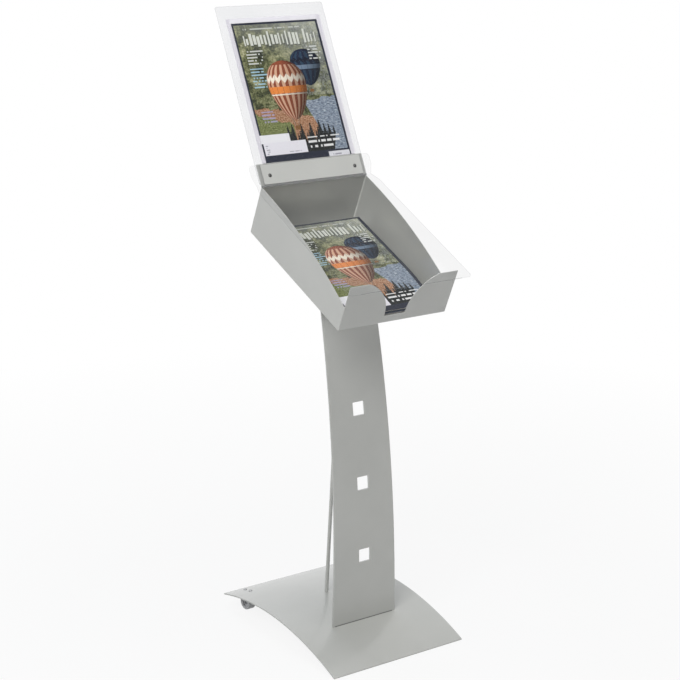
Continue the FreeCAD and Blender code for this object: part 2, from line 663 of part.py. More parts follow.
def make_tray_side(label, sign):
    """A side plate on the end of the floor, between the front and back walls."""
    body = new_body(label)
    corner = "bend_radius + rest_gap"
    front = "tray_gauge - tray_length"
    side = new_sketch(body, "side", "YZ_Plane", ("0", "0", f"{sign}(tray_width / 2 - tray_gauge / 2)"))
    outline(side, [
        (f"{front} + {corner}", "tray_gauge"), (f"-tray_gauge - ({corner})", "tray_gauge", corner, 1),
        ("-tray_gauge", f"tray_gauge + {corner}"), ("-tray_gauge", "side_back_height", "side_top_radius", 1),
        (front, "side_front_height"), (front, f"tray_gauge + {corner}", corner, 1)])
    pad(body, side, "tray_gauge", both_ways=True)
    in_tray(body)
    return body


def make_tray_fasteners():
    points = stud_points()
    below = "-(head_plate_gauge + stud_diameter * nut_height)"
    stud = [("stud_diameter", "-stud_length", "stud_length")]
    group = [stack_group("tray_studs", "XY_Plane", points, stud),
             nuts("tray_nuts", "XY_Plane", points, "stud_diameter", below)]
    for body in group:
        in_tray(body)
    return group


# ---------------------------------------------------------------- poster holder and lid
def clear_panel(label, width, low, high, face, gauge, corner, holes=False):
    """A flat pane in the display frame; face is its front, counted towards the reader from the flange."""
    body = new_body(label)
    pane = new_sketch(body, "pane", "XZ_Plane", ("0", "0", face))
    rectangle(pane, f"-{width} / 2", f"{width} / 2", low, high, corner)
    if holes:
        for sign in ("-", ""):
            circle(pane, f"{sign}flange_screw_x", "flange_screw_up", "small_screw + 2 * hole_play")
    pad(body, pane, gauge, backwards=True)
    in_display(body)
    return body


def make_poster_holder():
    strips = new_body("pocket_spacers")
    inner = "card_width / 2 + pocket_side_gap"
    plan = new_sketch(strips, "strips", "XZ_Plane", ("0", "0", "-tray_gauge"))
    for sign in ("-", ""):
        low = f"{sign}({inner})"
        high = f"{sign}({inner} + spacer_width)"
        rectangle(plan, low, high, "flange_height + rest_gap", "front_pane_top")
    pad(strips, plan, "pocket_depth")
    in_display(strips)
    return [
        clear_panel("poster_back_pane", "back_pane_width", "back_pane_start", "back_pane_top",
                    "-tray_gauge", "back_pane_gauge", "pane_corner", holes=True),
        clear_panel("poster_front_pane", "front_pane_width", "front_pane_start", "front_pane_top",
                    "pocket_depth - tray_gauge + front_pane_gauge", "front_pane_gauge", "pane_corner"),
        strips]


def make_poster_card():
    """Stands on the top edge of the flange, half way between the two panes."""
    card = doc.addObject("Part::Box", "poster_card")
    card.Label = "poster_card"
    bind(card, "Length", "card_width")
    bind(card, "Width", "card_gauge")
    bind(card, "Height", "card_height")
    back = "tray_gauge - (pocket_depth + card_gauge) / 2"
    up = "flange_height + rest_gap"
    place(card, "-card_width / 2",
          f"crease_y + ({back}) * cos(display_lean) + ({up}) * sin(display_lean)",
          f"crease_z - ({back}) * sin(display_lean) + ({up}) * cos(display_lean)", "-display_lean")
    return card


def lid_outline(sketch, near_end, far_end, way):
    """Half of the lid from the hinge line: narrower at the crease, with rounded far corners."""
    half = "lid_width / 2"
    crease = "lid_crease_width / 2"
    flare = "lid_flare"
    turn = 1 if way == "" else -1
    corners = [
        (f"-{crease}", f"{way}({near_end})"), (crease, f"{way}({near_end})"),
        (half, f"{way}({flare})"), (half, f"{way}({far_end} - lid_corner)", "lid_corner", turn),
        (f"{half} - lid_corner", f"{way}({far_end})"),
        (f"-({half}) + lid_corner", f"{way}({far_end})", "lid_corner", turn),
        (f"-({half})", f"{way}({far_end} - lid_corner)"), (f"-({half})", f"{way}({flare})")]
    outline(sketch, corners)


def make_lid_band():
    """The fixed half of the clear sheet, clamped to the front of the flange."""
    body = new_body("lid_band")
    face = new_sketch(body, "face", "XZ_Plane", ("0", "lid_crease_up"))
    lid_outline(face, "hinge_gap", "band_top - lid_crease_up", "")
    hole_up = "flange_screw_up - lid_crease_up"
    for sign in ("-", ""):
        circle(face, f"{sign}flange_screw_x", hole_up, "small_screw + 2 * hole_play")
    pad(body, face, "lid_gauge")
    in_display(body)
    return body


def make_clear_lid():
    """The moving half; the sheet bends along its front face, so it can fold up against the band."""
    body = new_body("clear_lid")
    face = new_sketch(body, "face", "XY_Plane")
    lid_outline(face, "hinge_gap", "lid_length", "-")
    pad(body, face, "lid_gauge", backwards=True)
    place(body, "0", "hinge_y", "hinge_z", "lid_tilt")
    return body


def make_flange_fasteners():
    points = [("-flange_screw_x", "flange_screw_up"), ("flange_screw_x", "flange_screw_up")]
    rear = "-(tray_gauge + back_pane_gauge)"
    nut = "small_screw * nut_height"
    screws = stack_group("flange_screws", "XZ_Plane", points, [
        ("small_screw", f"{rear} - {nut} - screw_end", f"lid_gauge - ({rear}) + {nut} + screw_end"),
        ("small_screw * head_over", "lid_gauge", "small_screw * head_height")])
    group = [screws, nuts("flange_nuts", "XZ_Plane", points, "small_screw", f"{rear} - {nut}")]
    for body in group:
        in_display(body)
    return group


# ---------------------------------------------------------------- castors
def in_castor(body, x):
    """Puts a sub-part's frame under the base plate above one roller."""
    place(body, x, "castor_y", "castor_height", "-castor_tilt")


def make_fork(label, x):
    """An inverted U: top plate against the base, a leg each side of the roller."""
    body = new_body(label)
    outer = "fork_inside + fork_gauge"
    top = new_sketch(body, "top", "XY_Plane", ("0", "0", "-fork_seat"))
    rectangle(top, f"-({outer})", outer, "-fork_depth / 2", "fork_depth / 2")
    for sign in ("-", ""):
        circle(top, "0", f"{sign}castor_screw_pitch / 2", "small_screw + 2 * thread_play")
    pad(body, top, "fork_gauge", backwards=True)
    leg = new_sketch(body, "leg", "YZ_Plane", ("0", "0", "fork_inside"))
    outline(leg, [
        ("-fork_depth / 2", "-fork_seat"),
        ("-fork_depth / 2", "-fork_seat - 2 * fork_gauge"),
        ("axle_local_y - fork_nose", "axle_local_z - fork_nose + fork_nose_cut"),
        ("axle_local_y - fork_nose + fork_nose_cut", "axle_local_z - fork_nose"),
        ("axle_local_y + fork_nose - fork_nose_cut", "axle_local_z - fork_nose"),
        ("axle_local_y + fork_nose", "axle_local_z - fork_nose + fork_nose_cut"),
        ("fork_depth / 2", "-fork_seat - 2 * fork_gauge"),
        ("fork_depth / 2", "-fork_seat")])
    circle(leg, "axle_local_y", "axle_local_z", "axle_diameter + 2 * axle_play")
    one_leg = pad(body, leg, "fork_gauge")
    other = body.newObject("PartDesign::Mirrored", f"{label}_mirror")
    other.Originals = [one_leg]
    plane = [face for face in body.Origin.OriginFeatures if face.Role == "YZ_Plane"][0]
    other.MirrorPlane = (plane, [""])
    body.Tip = other
    doc.recompute()
    in_castor(body, x)
    return body


def make_castor(side, x):
    """Fork, axle and roller; the axle is riveted in the fork and the roller turns on it."""
    reach = "fork_inside + fork_gauge + axle_end"
    axle = stack_group(f"castor_axle_{side}", "YZ_Plane", [("0", "0")], [
        ("axle_diameter", f"-({reach})", f"2 * ({reach})")])
    roller = stack_group(f"castor_roller_{side}", "YZ_Plane", [("0", "0")], [
        ("roller_diameter", "-roller_width / 2", "roller_width")], bore="axle_diameter + 2 * axle_play")
    for body in (axle, roller):
        place(body, x, "castor_y", "roller_diameter / 2")
    return [make_fork(f"castor_fork_{side}", x), axle, roller]


def make_castor_screws():
    """Four screws through the base plate into the forks' tapped top plates."""
    points = [(x, f"{sign}castor_screw_pitch / 2") for x in ("-castor_x", "castor_x") for sign in ("-", "")]
    top = "base_gauge + 2 * seat_gap"
    body = stack_group("castor_screws", "XY_Plane", points, [
        ("small_screw", "-(fork_seat + fork_gauge)", f"{top} + fork_seat + fork_gauge"),
        ("small_screw * head_over", top, "small_screw * head_height")])
    place(body, "0", "castor_y", "castor_height", "-castor_tilt")
    return body


# ---------------------------------------------------------------- magazines
def make_magazines():
    """A pile of copies just behind the fold of the front wall, each a little out of line with the next."""
    lift = "tray_gauge + rest_gap"
    front = "bend_radius + rest_gap + tray_gauge - tray_length"
    copies = []
    top = int(size("copies")) - 1
    for number in range(top + 1):
        sway = (number * 5 % 3 - 1) / 2
        back = "top_copy_back" if number == top else f"{number % 2} * copy_shift / 2"
        sheet_pack = doc.addObject("Part::Box", f"copy_{number}")
        bind(sheet_pack, "Length", "copy_width")
        bind(sheet_pack, "Width", "copy_height")
        bind(sheet_pack, "Height", "copy_gauge")
        bind(sheet_pack, "Placement.Base.x", f"pile_offset - copy_width / 2 + {sway} * copy_shift")
        bind(sheet_pack, "Placement.Base.y", f"{front} + {back}")
        bind(sheet_pack, "Placement.Base.z", f"{lift} + {number} * copy_gauge")
        copies.append(bevel_spine(sheet_pack))
    pile = doc.addObject("Part::Compound", "magazine_pile")
    pile.Label = "magazine_pile"
    pile.Links = copies
    in_tray(pile)
    return pile


def bevel_spine(sheet_pack):
    """Bevels the two long edges of a copy on its spine side."""
    doc.recompute()
    left = sheet_pack.Shape.BoundBox.XMin
    spine = doc.addObject("Part::Chamfer", f"{sheet_pack.Name}_spine")
    spine.Base = sheet_pack
    bevel = size("copy_spine_bevel")
    chosen = []
    for index, edge in enumerate(sheet_pack.Shape.Edges):
        middle = edge.valueAt((edge.FirstParameter + edge.LastParameter) / 2)
        if abs(middle.x - left) < 0.01 and edge.Length > size("copy_height") - 0.01:
            chosen.append((index + 1, bevel, bevel))
    spine.Edges = chosen
    return spine


# ---------------------------------------------------------------- build, check and write
def check(parts):
    """Stops unless every object of the document is sound and every sub-part is a valid shape."""
    for thing in doc.Objects:
        if "Invalid" in thing.State or "Error" in thing.State:
            raise RuntimeError(f"{thing.Name} failed: {thing.State}")
    for part in parts:
        if part.Shape.isNull() or not part.Shape.isValid() or not part.Shape.Solids:
            raise RuntimeError(f"{part.Label} has no valid shape")


def main():
    fill_sheet()
    parts = [make_base_plate(), make_front_glides(), make_column_panel(), *make_foot_fasteners(),
             *make_stay(), make_stay_lug(), make_head_plate(), make_tray_sheet(),
             make_tray_side("tray_side_left", "-"), make_tray_side("tray_side_right", ""),
             *make_tray_fasteners(), *make_poster_holder(), make_poster_card(),
             make_lid_band(), make_clear_lid(), *make_flange_fasteners(),
             *make_castor("left", "-castor_x"), *make_castor("right", "castor_x"), make_castor_screws(),
             make_magazines()]
    doc.recompute()
    check(parts)
    os.makedirs("parts", exist_ok=True)
    for part in parts:
        part.Shape.exportStep(f"parts/{part.Label}.step")
        print(f"{part.Label}: {len(part.Shape.Solids)} solid(s), {part.Shape.Volume / 1000:.1f} cm3")
    for name in ("origin_y", "base_crest", "tray_y", "tray_z", "crease_y", "crease_z", "hinge_y",
                 "hinge_z", "lid_tilt", "castor_x", "castor_y", "castor_height", "castor_tilt",
                 "stay_rise", "stay_lean"):
        print(f"{name} = {size(name):.3f}")


main()
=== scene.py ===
import functools
import json
import math

import bmesh
import bpy
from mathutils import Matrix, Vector


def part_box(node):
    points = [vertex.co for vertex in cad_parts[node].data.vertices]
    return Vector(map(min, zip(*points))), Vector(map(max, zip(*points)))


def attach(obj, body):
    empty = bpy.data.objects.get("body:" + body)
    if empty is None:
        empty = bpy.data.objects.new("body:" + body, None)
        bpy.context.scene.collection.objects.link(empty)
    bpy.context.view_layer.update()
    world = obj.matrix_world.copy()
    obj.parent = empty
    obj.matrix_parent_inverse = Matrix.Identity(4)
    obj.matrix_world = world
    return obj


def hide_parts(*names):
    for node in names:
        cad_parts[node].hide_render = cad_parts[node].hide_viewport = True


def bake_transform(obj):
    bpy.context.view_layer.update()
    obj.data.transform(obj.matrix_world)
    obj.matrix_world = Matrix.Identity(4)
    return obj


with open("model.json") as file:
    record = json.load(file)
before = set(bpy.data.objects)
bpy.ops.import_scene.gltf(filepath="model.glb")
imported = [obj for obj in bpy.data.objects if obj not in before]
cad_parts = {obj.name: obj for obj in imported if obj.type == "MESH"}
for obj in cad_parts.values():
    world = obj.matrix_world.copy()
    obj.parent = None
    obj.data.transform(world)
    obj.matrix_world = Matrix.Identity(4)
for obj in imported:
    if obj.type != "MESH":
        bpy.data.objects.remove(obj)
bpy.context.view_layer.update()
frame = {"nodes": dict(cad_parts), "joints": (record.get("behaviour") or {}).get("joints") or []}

# -------------------- places, all read from the frame
MM = 0.001
ACROSS = Vector((1, 0, 0))
JOINTS = {joint["name"]: joint for joint in frame["joints"]}
UP_DISPLAY = Vector(JOINTS["poster_slide"]["axis"])  # up the poster holder
OUT_DISPLAY = ACROSS.cross(UP_DISPLAY)  # from the poster holder towards the reader
UP_TRAY = Vector(JOINTS["magazine_lift"]["axis"])  # square to the tray's floor
ALONG_TRAY = UP_TRAY.cross(ACROSS)  # up the slope of the tray's floor
HINGE = Vector(JOINTS["lid_hinge"]["pos_m"])


def corner_key(point):
    """A point rounded to a micrometre, so that equal corners of neighbouring facets meet."""
    return tuple(round(number / (0.001 * MM)) for number in point)


def facets(node):
    """The facets of a CAD node as (corners, normal, area)."""
    mesh = frame["nodes"][node].data
    points = [vertex.co.copy() for vertex in mesh.vertices]
    return [([points[index] for index in facet.vertices], facet.normal.copy(), facet.area)
            for facet in mesh.polygons]


def solids(node):
    """The facets of a node, in one list per separate solid."""
    groups = []
    for facet in facets(node):
        keys = {corner_key(point) for point in facet[0]}
        touching = [group for group in groups if group[0] & keys]
        rest = [group for group in groups if not group[0] & keys]
        joined = (keys.union(*(group[0] for group in touching)),
                  [facet] + [item for group in touching for item in group[1]])
        groups = rest + [joined]
    return [group[1] for group in groups]


def widest_normal(solid):
    """The normal of the flat face that has the largest area."""
    areas = {}
    for _, normal, area in solid:
        key = tuple(round(number, 3) for number in normal)
        areas[key] = areas.get(key, 0) + area
    return Vector(max(areas, key=areas.get)).normalized()


def span(solid, way):
    """The lowest and highest place of a solid along a direction."""
    places = [point.dot(way) for corners, _, _ in solid for point in corners]
    return min(places), max(places)


def extent(solid, way):
    """How much room a solid takes along a direction."""
    low, high = span(solid, way)
    return high - low


def middle(solid, ways):
    """The middle of a solid's box along three directions that are square to each other."""
    return sum((way * (sum(span(solid, way)) / 2) for way in ways), Vector())


# -------------------- node graphs
class Paint:
    """Builds the nodes of one material, or of the world; its methods pass sockets on."""

    def __init__(self, name, kind="materials"):
        self.owner = getattr(bpy.data, kind).new(name)
        self.owner.use_nodes = True
        self.tree = self.owner.node_tree
        self.tree.nodes.clear()

    @functools.cached_property
    def place(self):
        """The surface point in the object's own coordinates."""
        return self.add("ShaderNodeTexCoord").outputs["Object"]

    def add(self, kind, **settings):
        node = self.tree.nodes.new(kind)
        for name, value in settings.items():
            setattr(node, name, value)
        return node

    def feed(self, socket, value):
        if isinstance(value, bpy.types.NodeSocket):
            self.tree.links.new(value, socket)
        else:
            socket.default_value = value

    def math(self, operation, *values, clamp=False):
        node = self.add("ShaderNodeMath", operation=operation, use_clamp=clamp)
        for socket, value in zip(node.inputs, values):
            self.feed(socket, value)
        return node.outputs[0]

    def plus(self, first, second):
        return self.math("ADD", first, second)

    def minus(self, first, second):
        return self.math("SUBTRACT", first, second)

    def times(self, first, *others):
        for other in others:
            first = self.math("MULTIPLY", first, other)
        return first

    def over(self, first, second):
        return self.math("DIVIDE", first, second)

    def above(self, value, limit):
        return self.math("GREATER_THAN", value, limit)

    def under(self, value, limit):
        return self.math("LESS_THAN", value, limit)

    def size(self, value):
        return self.math("ABSOLUTE", value)

    def vector(self, operation, *values, out=0):
        node = self.add("ShaderNodeVectorMath", operation=operation)
        for socket, value in zip(node.inputs, values):
            self.feed(socket, value)
        return node.outputs[out]

    def along(self, way, start=0.0, length=1.0):
        """How far the surface point lies along a direction, from start, as a share of length."""
        reach = self.vector("DOT_PRODUCT", self.place, tuple(way), out="Value")
        return self.over(self.minus(reach, start), length)

    def facing(self, way):
        """How much a face looks along a direction: 1 fully, 0 sideways, -1 backwards."""
        normal = self.add("ShaderNodeTexCoord").outputs["Normal"]
        return self.vector("DOT_PRODUCT", normal, tuple(way), out="Value")

    def noise(self, scale, detail=2.0, where=None, roughness=0.5, distortion=0.0):
        node = self.add("ShaderNodeTexNoise")
        self.feed(node.inputs["Vector"], where or self.place)
        self.feed(node.inputs["Scale"], scale)
        self.feed(node.inputs["Detail"], detail)
        self.feed(node.inputs["Roughness"], roughness)
        self.feed(node.inputs["Distortion"], distortion)
        return node.outputs[0]

    def ramp(self, value, *stops):
        """A colour ramp; each stop is (place, colour)."""
        node = self.add("ShaderNodeValToRGB")
        self.feed(node.inputs[0], value)
        band = node.color_ramp
        while len(band.elements) < len(stops):
            band.elements.new(1.0)
        for element, (place, colour) in zip(band.elements, stops):
            element.position = place
            element.color = (*colour, 1)
        return node.outputs[0]

    def spread(self, value, low, high, to_low, to_high):
        """Maps low..high to to_low..to_high."""
        node = self.add("ShaderNodeMapRange")
        for socket, number in zip(node.inputs, (value, low, high, to_low, to_high)):
            self.feed(socket, number)
        return node.outputs[0]

    def mix(self, share, below, above):
        node = self.add("ShaderNodeMix", data_type="RGBA")
        self.feed(node.inputs[0], share)
        for socket, colour in ((node.inputs[6], below), (node.inputs[7], above)):
            self.feed(socket, colour if isinstance(colour, bpy.types.NodeSocket) else (*colour, 1))
        return node.outputs[2]

    def mix_by(self, way, below, above):
        """Blends two colours wholly, such as by MULTIPLY."""
        node = self.add("ShaderNodeMix", data_type="RGBA", blend_type=way)
        node.inputs[0].default_value = 1.0
        self.feed(node.inputs[6], below)
        self.feed(node.inputs[7], above)
        return node.outputs[2]

    def bump(self, height, strength, distance):
        node = self.add("ShaderNodeBump")
        self.feed(node.inputs["Strength"], strength)
        self.feed(node.inputs["Distance"], distance)
        self.feed(node.inputs["Height"], height)
        return node.outputs[0]

    def surface(self, **inputs):
        """The Principled shader and the output; underscores in the names stand for spaces."""
        shader = self.add("ShaderNodeBsdfPrincipled")
        for name, value in inputs.items():
            if isinstance(value, tuple):
                value = (*value, 1)
            self.feed(shader.inputs[name.replace("_", " ")], value)
        return self.end(shader, "ShaderNodeOutputMaterial")

    def end(self, shader, output):
        """Closes the graph and gives its material or world."""
        self.tree.links.new(shader.outputs[0], self.add(output).inputs[0])
        return self.owner

    def two_shaders(self, share, first, second, output):
        """Closes the graph with a mix of two shaders."""
        both = self.add("ShaderNodeMixShader")
        for socket, value in zip(both.inputs, (share, first, second)):
            self.feed(socket, value)
        return self.end(both, output)


# -------------------- materials
COAT_DARK = (0.440, 0.446, 0.424)
COAT_LIGHT = (0.500, 0.506, 0.482)
# painted shade: the tone of the dark line along the bottom of the column
SHADE_TONE = (0.10, 0.10, 0.095)
# painted highlight: the weld beads take a copy of the coat this much paler
SEAM_HIGHLIGHT_LIFT = 1.45  # how much paler the coat is in the tray's corners
# painted shade: height, end and strength of that dark line at the column's foot
FOOT_LINE = 2.6 * MM
FOOT_LINE_END = 6 * MM
FOOT_SHADE_DEPTH = 0.85


def powder_coat(name="silver_powder_coat", lift=1.0, painted_shade=None):
    """Satin silver-grey powder coat: fine orange peel and a slight cloudiness; lift makes it paler, and
    the last argument is a function that gives how much painted shade darkens it from place to place."""
    paint = Paint(name)
    cloud = paint.noise(7, 3)
    grain = paint.noise(2600, 1)
    tone = paint.plus(paint.times(cloud, 0.7), paint.times(grain, 0.3))
    colour = paint.ramp(tone, (0.3, tuple(part * lift for part in COAT_DARK)),
                        (0.7, tuple(part * lift for part in COAT_LIGHT)))
    # painted shade, darkening the coat where the given function puts it
    if painted_shade:
        colour = paint.mix(painted_shade(paint), colour, SHADE_TONE)
    peel = paint.plus(paint.noise(1150, 2), paint.times(grain, 0.5))
    rough = paint.spread(paint.noise(18, 4), 0.3, 0.7, 0.30, 0.38)
    return paint.surface(Base_Color=colour, Roughness=rough, Metallic=0.1, Coat_Weight=0.9,
                         Coat_Roughness=0.13, Normal=paint.bump(peel, 0.10, 0.08 * MM))


def foot_painted_shade(paint):
    """Painted shade in the corner at the bottom of the column, which stops short of the panel's sides.
    """
    low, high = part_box("column_panel")
    inner = paint.under(paint.size(paint.along(ACROSS)), high.x - FOOT_LINE_END)
    rise = paint.along(Vector((0, 0, 1)), low.z, FOOT_LINE)
    return paint.times(inner, paint.spread(rise, 0.7, 1.0, FOOT_SHADE_DEPTH, 0.0))


def worn(name, grain, dark, pale, rough, relief, rough_grain=None, relief_grain=None, metallic=0.0):
    """A finish that varies with noise. A grain is (scale, detail), and the colour's serves where none is
    given; dark and pale are stops of the colour, rough is a range, relief is (strength, depth)."""
    paint = Paint(name)
    marks = paint.noise(*grain)
    gloss = paint.noise(*rough_grain) if rough_grain else marks
    bumps = paint.noise(*relief_grain) if relief_grain else marks
    return paint.surface(Base_Color=paint.ramp(marks, dark, pale), Metallic=metallic,
                         Roughness=paint.spread(gloss, 0.3, 0.7, *rough),
                         Normal=paint.bump(bumps, *relief))


def zinc_steel():
    """Zinc plate, with fine turned marks."""
    return worn("bright_steel", (900, 3), (0.3, (0.24, 0.24, 0.245)), (0.7, (0.42, 0.42, 0.43)),
                (0.30, 0.46), (0.2, 0.05 * MM), rough_grain=(260, 2), metallic=1.0)


def dark_zinc():
    """Blackened zinc of the small screws."""
    return worn("dark_zinc", (1200, 3), (0.3, (0.055, 0.056, 0.054)), (0.7, (0.12, 0.122, 0.118)),
                (0.42, 0.55), (0.2, 0.04 * MM), metallic=0.5)


def dark_fork():
    """Semi-gloss dark grey lacquer of the castor forks, worn pale in spots."""
    return worn("castor_steel", (420, 4), (0.58, (0.20, 0.203, 0.208)), (0.74, (0.30, 0.30, 0.30)),
                (0.30, 0.48), (0.12, 0.06 * MM), rough_grain=(90, 2), relief_grain=(1500, 1),
                metallic=0.3)


def roller_plastic():
    """Moulded grey nylon with a dusty tread."""
    return worn("roller_plastic", (160, 4), (0.35, (0.52, 0.525, 0.535)), (0.70, (0.64, 0.645, 0.66)),
                (0.42, 0.62), (0.2, 0.05 * MM), relief_grain=(1200, 2))


def glide_rubber():
    """Matt black rubber of the glides."""
    return worn("glide_rubber", (700, 3), (0.3, (0.018, 0.018, 0.019)), (0.75, (0.045, 0.045, 0.046)),
                (0.62, 0.85), (0.3, 0.08 * MM))


CLEAR_TINT = (0.24, 0.245, 0.25)
FACE_ALPHA = 0.05
RIM_ALPHA = 0.30
EDGE_FACING = 0.7  # faces that look less along the normal are edges
# painted light: over the tray's opening the lid gets a paler tint and less alpha, which lightens the
# tray's inside
OPENING_PAINTED_LIGHT_TINT = (0.42, 0.425, 0.43)
OPENING_ALPHA = 0.02
GLANCE_POWER = 4.0
GLANCE_ALPHA = 0.3


def clear_face(name, tint=CLEAR_TINT, alpha=FACE_ALPHA, rim=None, shade=None, opening=None):
    """Clear sheet. Where rim is the faces' normal, the same material makes its polished edges denser;
    shade is a function that gives the painted shade to add from place to place, and opening one that
    gives where the sheet is made paler and clearer, as painted light on what lies behind it."""
    paint = Paint(name)
    streak = paint.noise(9, 2)
    veil = paint.spread(streak, 0.3, 0.7, alpha * 0.85, alpha * 1.15)
    # painted shade from the given function
    if shade:
        veil = paint.plus(veil, shade(paint))
    if rim is not None:
        edge = paint.under(paint.size(paint.facing(rim)), EDGE_FACING)
        veil = paint.plus(veil, paint.times(edge, RIM_ALPHA - alpha))
    colour = paint.ramp(streak, (0.3, tuple(tone * 0.97 for tone in tint)), (0.7, tint))
    # painted light, where the given function puts it
    if opening:
        share = opening(paint)
        colour = paint.mix(share, colour, OPENING_PAINTED_LIGHT_TINT)
        veil = paint.minus(veil, paint.times(share, alpha - OPENING_ALPHA))
    slant = paint.add("ShaderNodeLayerWeight").outputs["Facing"]
    glance = paint.times(paint.math("POWER", slant, GLANCE_POWER), GLANCE_ALPHA)
    veil = paint.math("ADD", veil, glance, clamp=True)
    rough = paint.spread(paint.noise(60, 2), 0.3, 0.7, 0.03, 0.07)
    return paint.surface(Base_Color=colour, Roughness=rough, Alpha=veil)


# painted shade on the lid's sheet: on the band clamped against the flange, and along the crease
CLAMPED_PAINTED_SHADE = 0.24
BAND_REACH = 3 * MM  # how far off the band's plane still counts as it
CREASE_PAINTED_SHADE = 0.42
CREASE_SHADE = 2.6 * MM
RIM_TINT = (0.25, 0.26, 0.265)
RIM_OUTSIDE = 0.15
# painted shade on the lid's front edge where it lies in front of the tray
RIM_SHADE_ON_TRAY = 0.34
RIM_FROM_CREASE = 0.1
RIM_SIDE = 0.94  # share of the tray's half width
# the part of the lid that gets painted light over the tray's opening
OPENING_START = (4 * MM, 12 * MM)  # from the crease
OPENING_SIDE = (0.60, 0.85)  # shares of the tray's half width


def lid_places(paint):
    """How far the point lies to the side, as a share of the tray's half width, and from the crease."""
    across = paint.size(paint.along(ACROSS, 0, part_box("tray_sheet")[1].x))
    offset = paint.vector("SUBTRACT", paint.place, tuple(HINGE))
    from_crease = paint.vector("LENGTH", paint.vector("MULTIPLY", offset, (0, 1, 1)), out="Value")
    return across, from_crease


def on_band(paint):
    """1 where the sheet is clamped against the flange; the opened lid leaves the band's plane."""
    above = paint.above(paint.along(UP_DISPLAY, HINGE.dot(UP_DISPLAY)), 0)
    off_plane = paint.size(paint.along(OUT_DISPLAY, HINGE.dot(OUT_DISPLAY)))
    return paint.times(above, paint.under(off_plane, BAND_REACH))


def lid_painted_light(paint):
    """The part of the lid that lies over the tray's opening when it is shut; painted light makes it
    paler and clearer there.
    """
    across, from_crease = lid_places(paint)
    off_band = paint.minus(1, on_band(paint))
    clear = paint.times(off_band, paint.spread(from_crease, *OPENING_START, 0, 1))
    return paint.times(clear, paint.spread(across, *OPENING_SIDE, 1, 0))


def rim_shade(paint):
    """Painted shade: the lid's front edge is darker where it lies in front of the tray."""
    across, from_crease = lid_places(paint)
    front = paint.above(from_crease, RIM_FROM_CREASE)
    inside = paint.under(across, RIM_SIDE)
    return paint.times(inside, paint.times(front, RIM_SHADE_ON_TRAY))


def lid_shade(paint):
    """Painted shade on the lid's sheet: darker along its crease, and where it is clamped against the
    flange.
    """
    across, from_crease = lid_places(paint)
    clamped = paint.times(on_band(paint), CLAMPED_PAINTED_SHADE)
    creased = paint.spread(from_crease, CREASE_SHADE * 0.6, CREASE_SHADE * 1.2, CREASE_PAINTED_SHADE, 0)
    return paint.times(paint.under(across, 1), paint.math("MAXIMUM", clamped, creased))


# the balloons' cloth: dark and light gores, belt and trim
BLUE_CLOTH = ((0.008, 0.014, 0.034), (0.020, 0.044, 0.080), (0.15, 0.21, 0.29), (0.005, 0.008, 0.020))
ORANGE_CLOTH = ((0.24, 0.062, 0.030), (0.60, 0.36, 0.24), (0.74, 0.24, 0.055), (0.82, 0.74, 0.62))
ROPE = (0.16, 0.13, 0.10)
BASKET = (0.20, 0.095, 0.035)
TITLE = (0.72, 0.74, 0.68)
TITLE_SHADOW = (0.03, 0.032, 0.028)
MARGIN = (0.021, 0.025, 0.040)
# blocks of dashes on the picture: left, right, foot and top; pitch, seed and colour
PRINT = (
    ((0.09, 0.31, 0.70, 0.80), 0.022, 1, (0.62, 0.64, 0.60)),
    ((0.09, 0.27, 0.53, 0.67), 0.022, 4, (0.36, 0.56, 0.66)),
    ((0.09, 0.25, 0.28, 0.36), 0.024, 7, (0.36, 0.34, 0.50)),
    ((0.80, 0.95, 0.71, 0.81), 0.022, 9, (0.64, 0.66, 0.64)),
    ((0.54, 0.93, 0.075, 0.155), 0.036, 12, (0.80, 0.80, 0.80)),
)


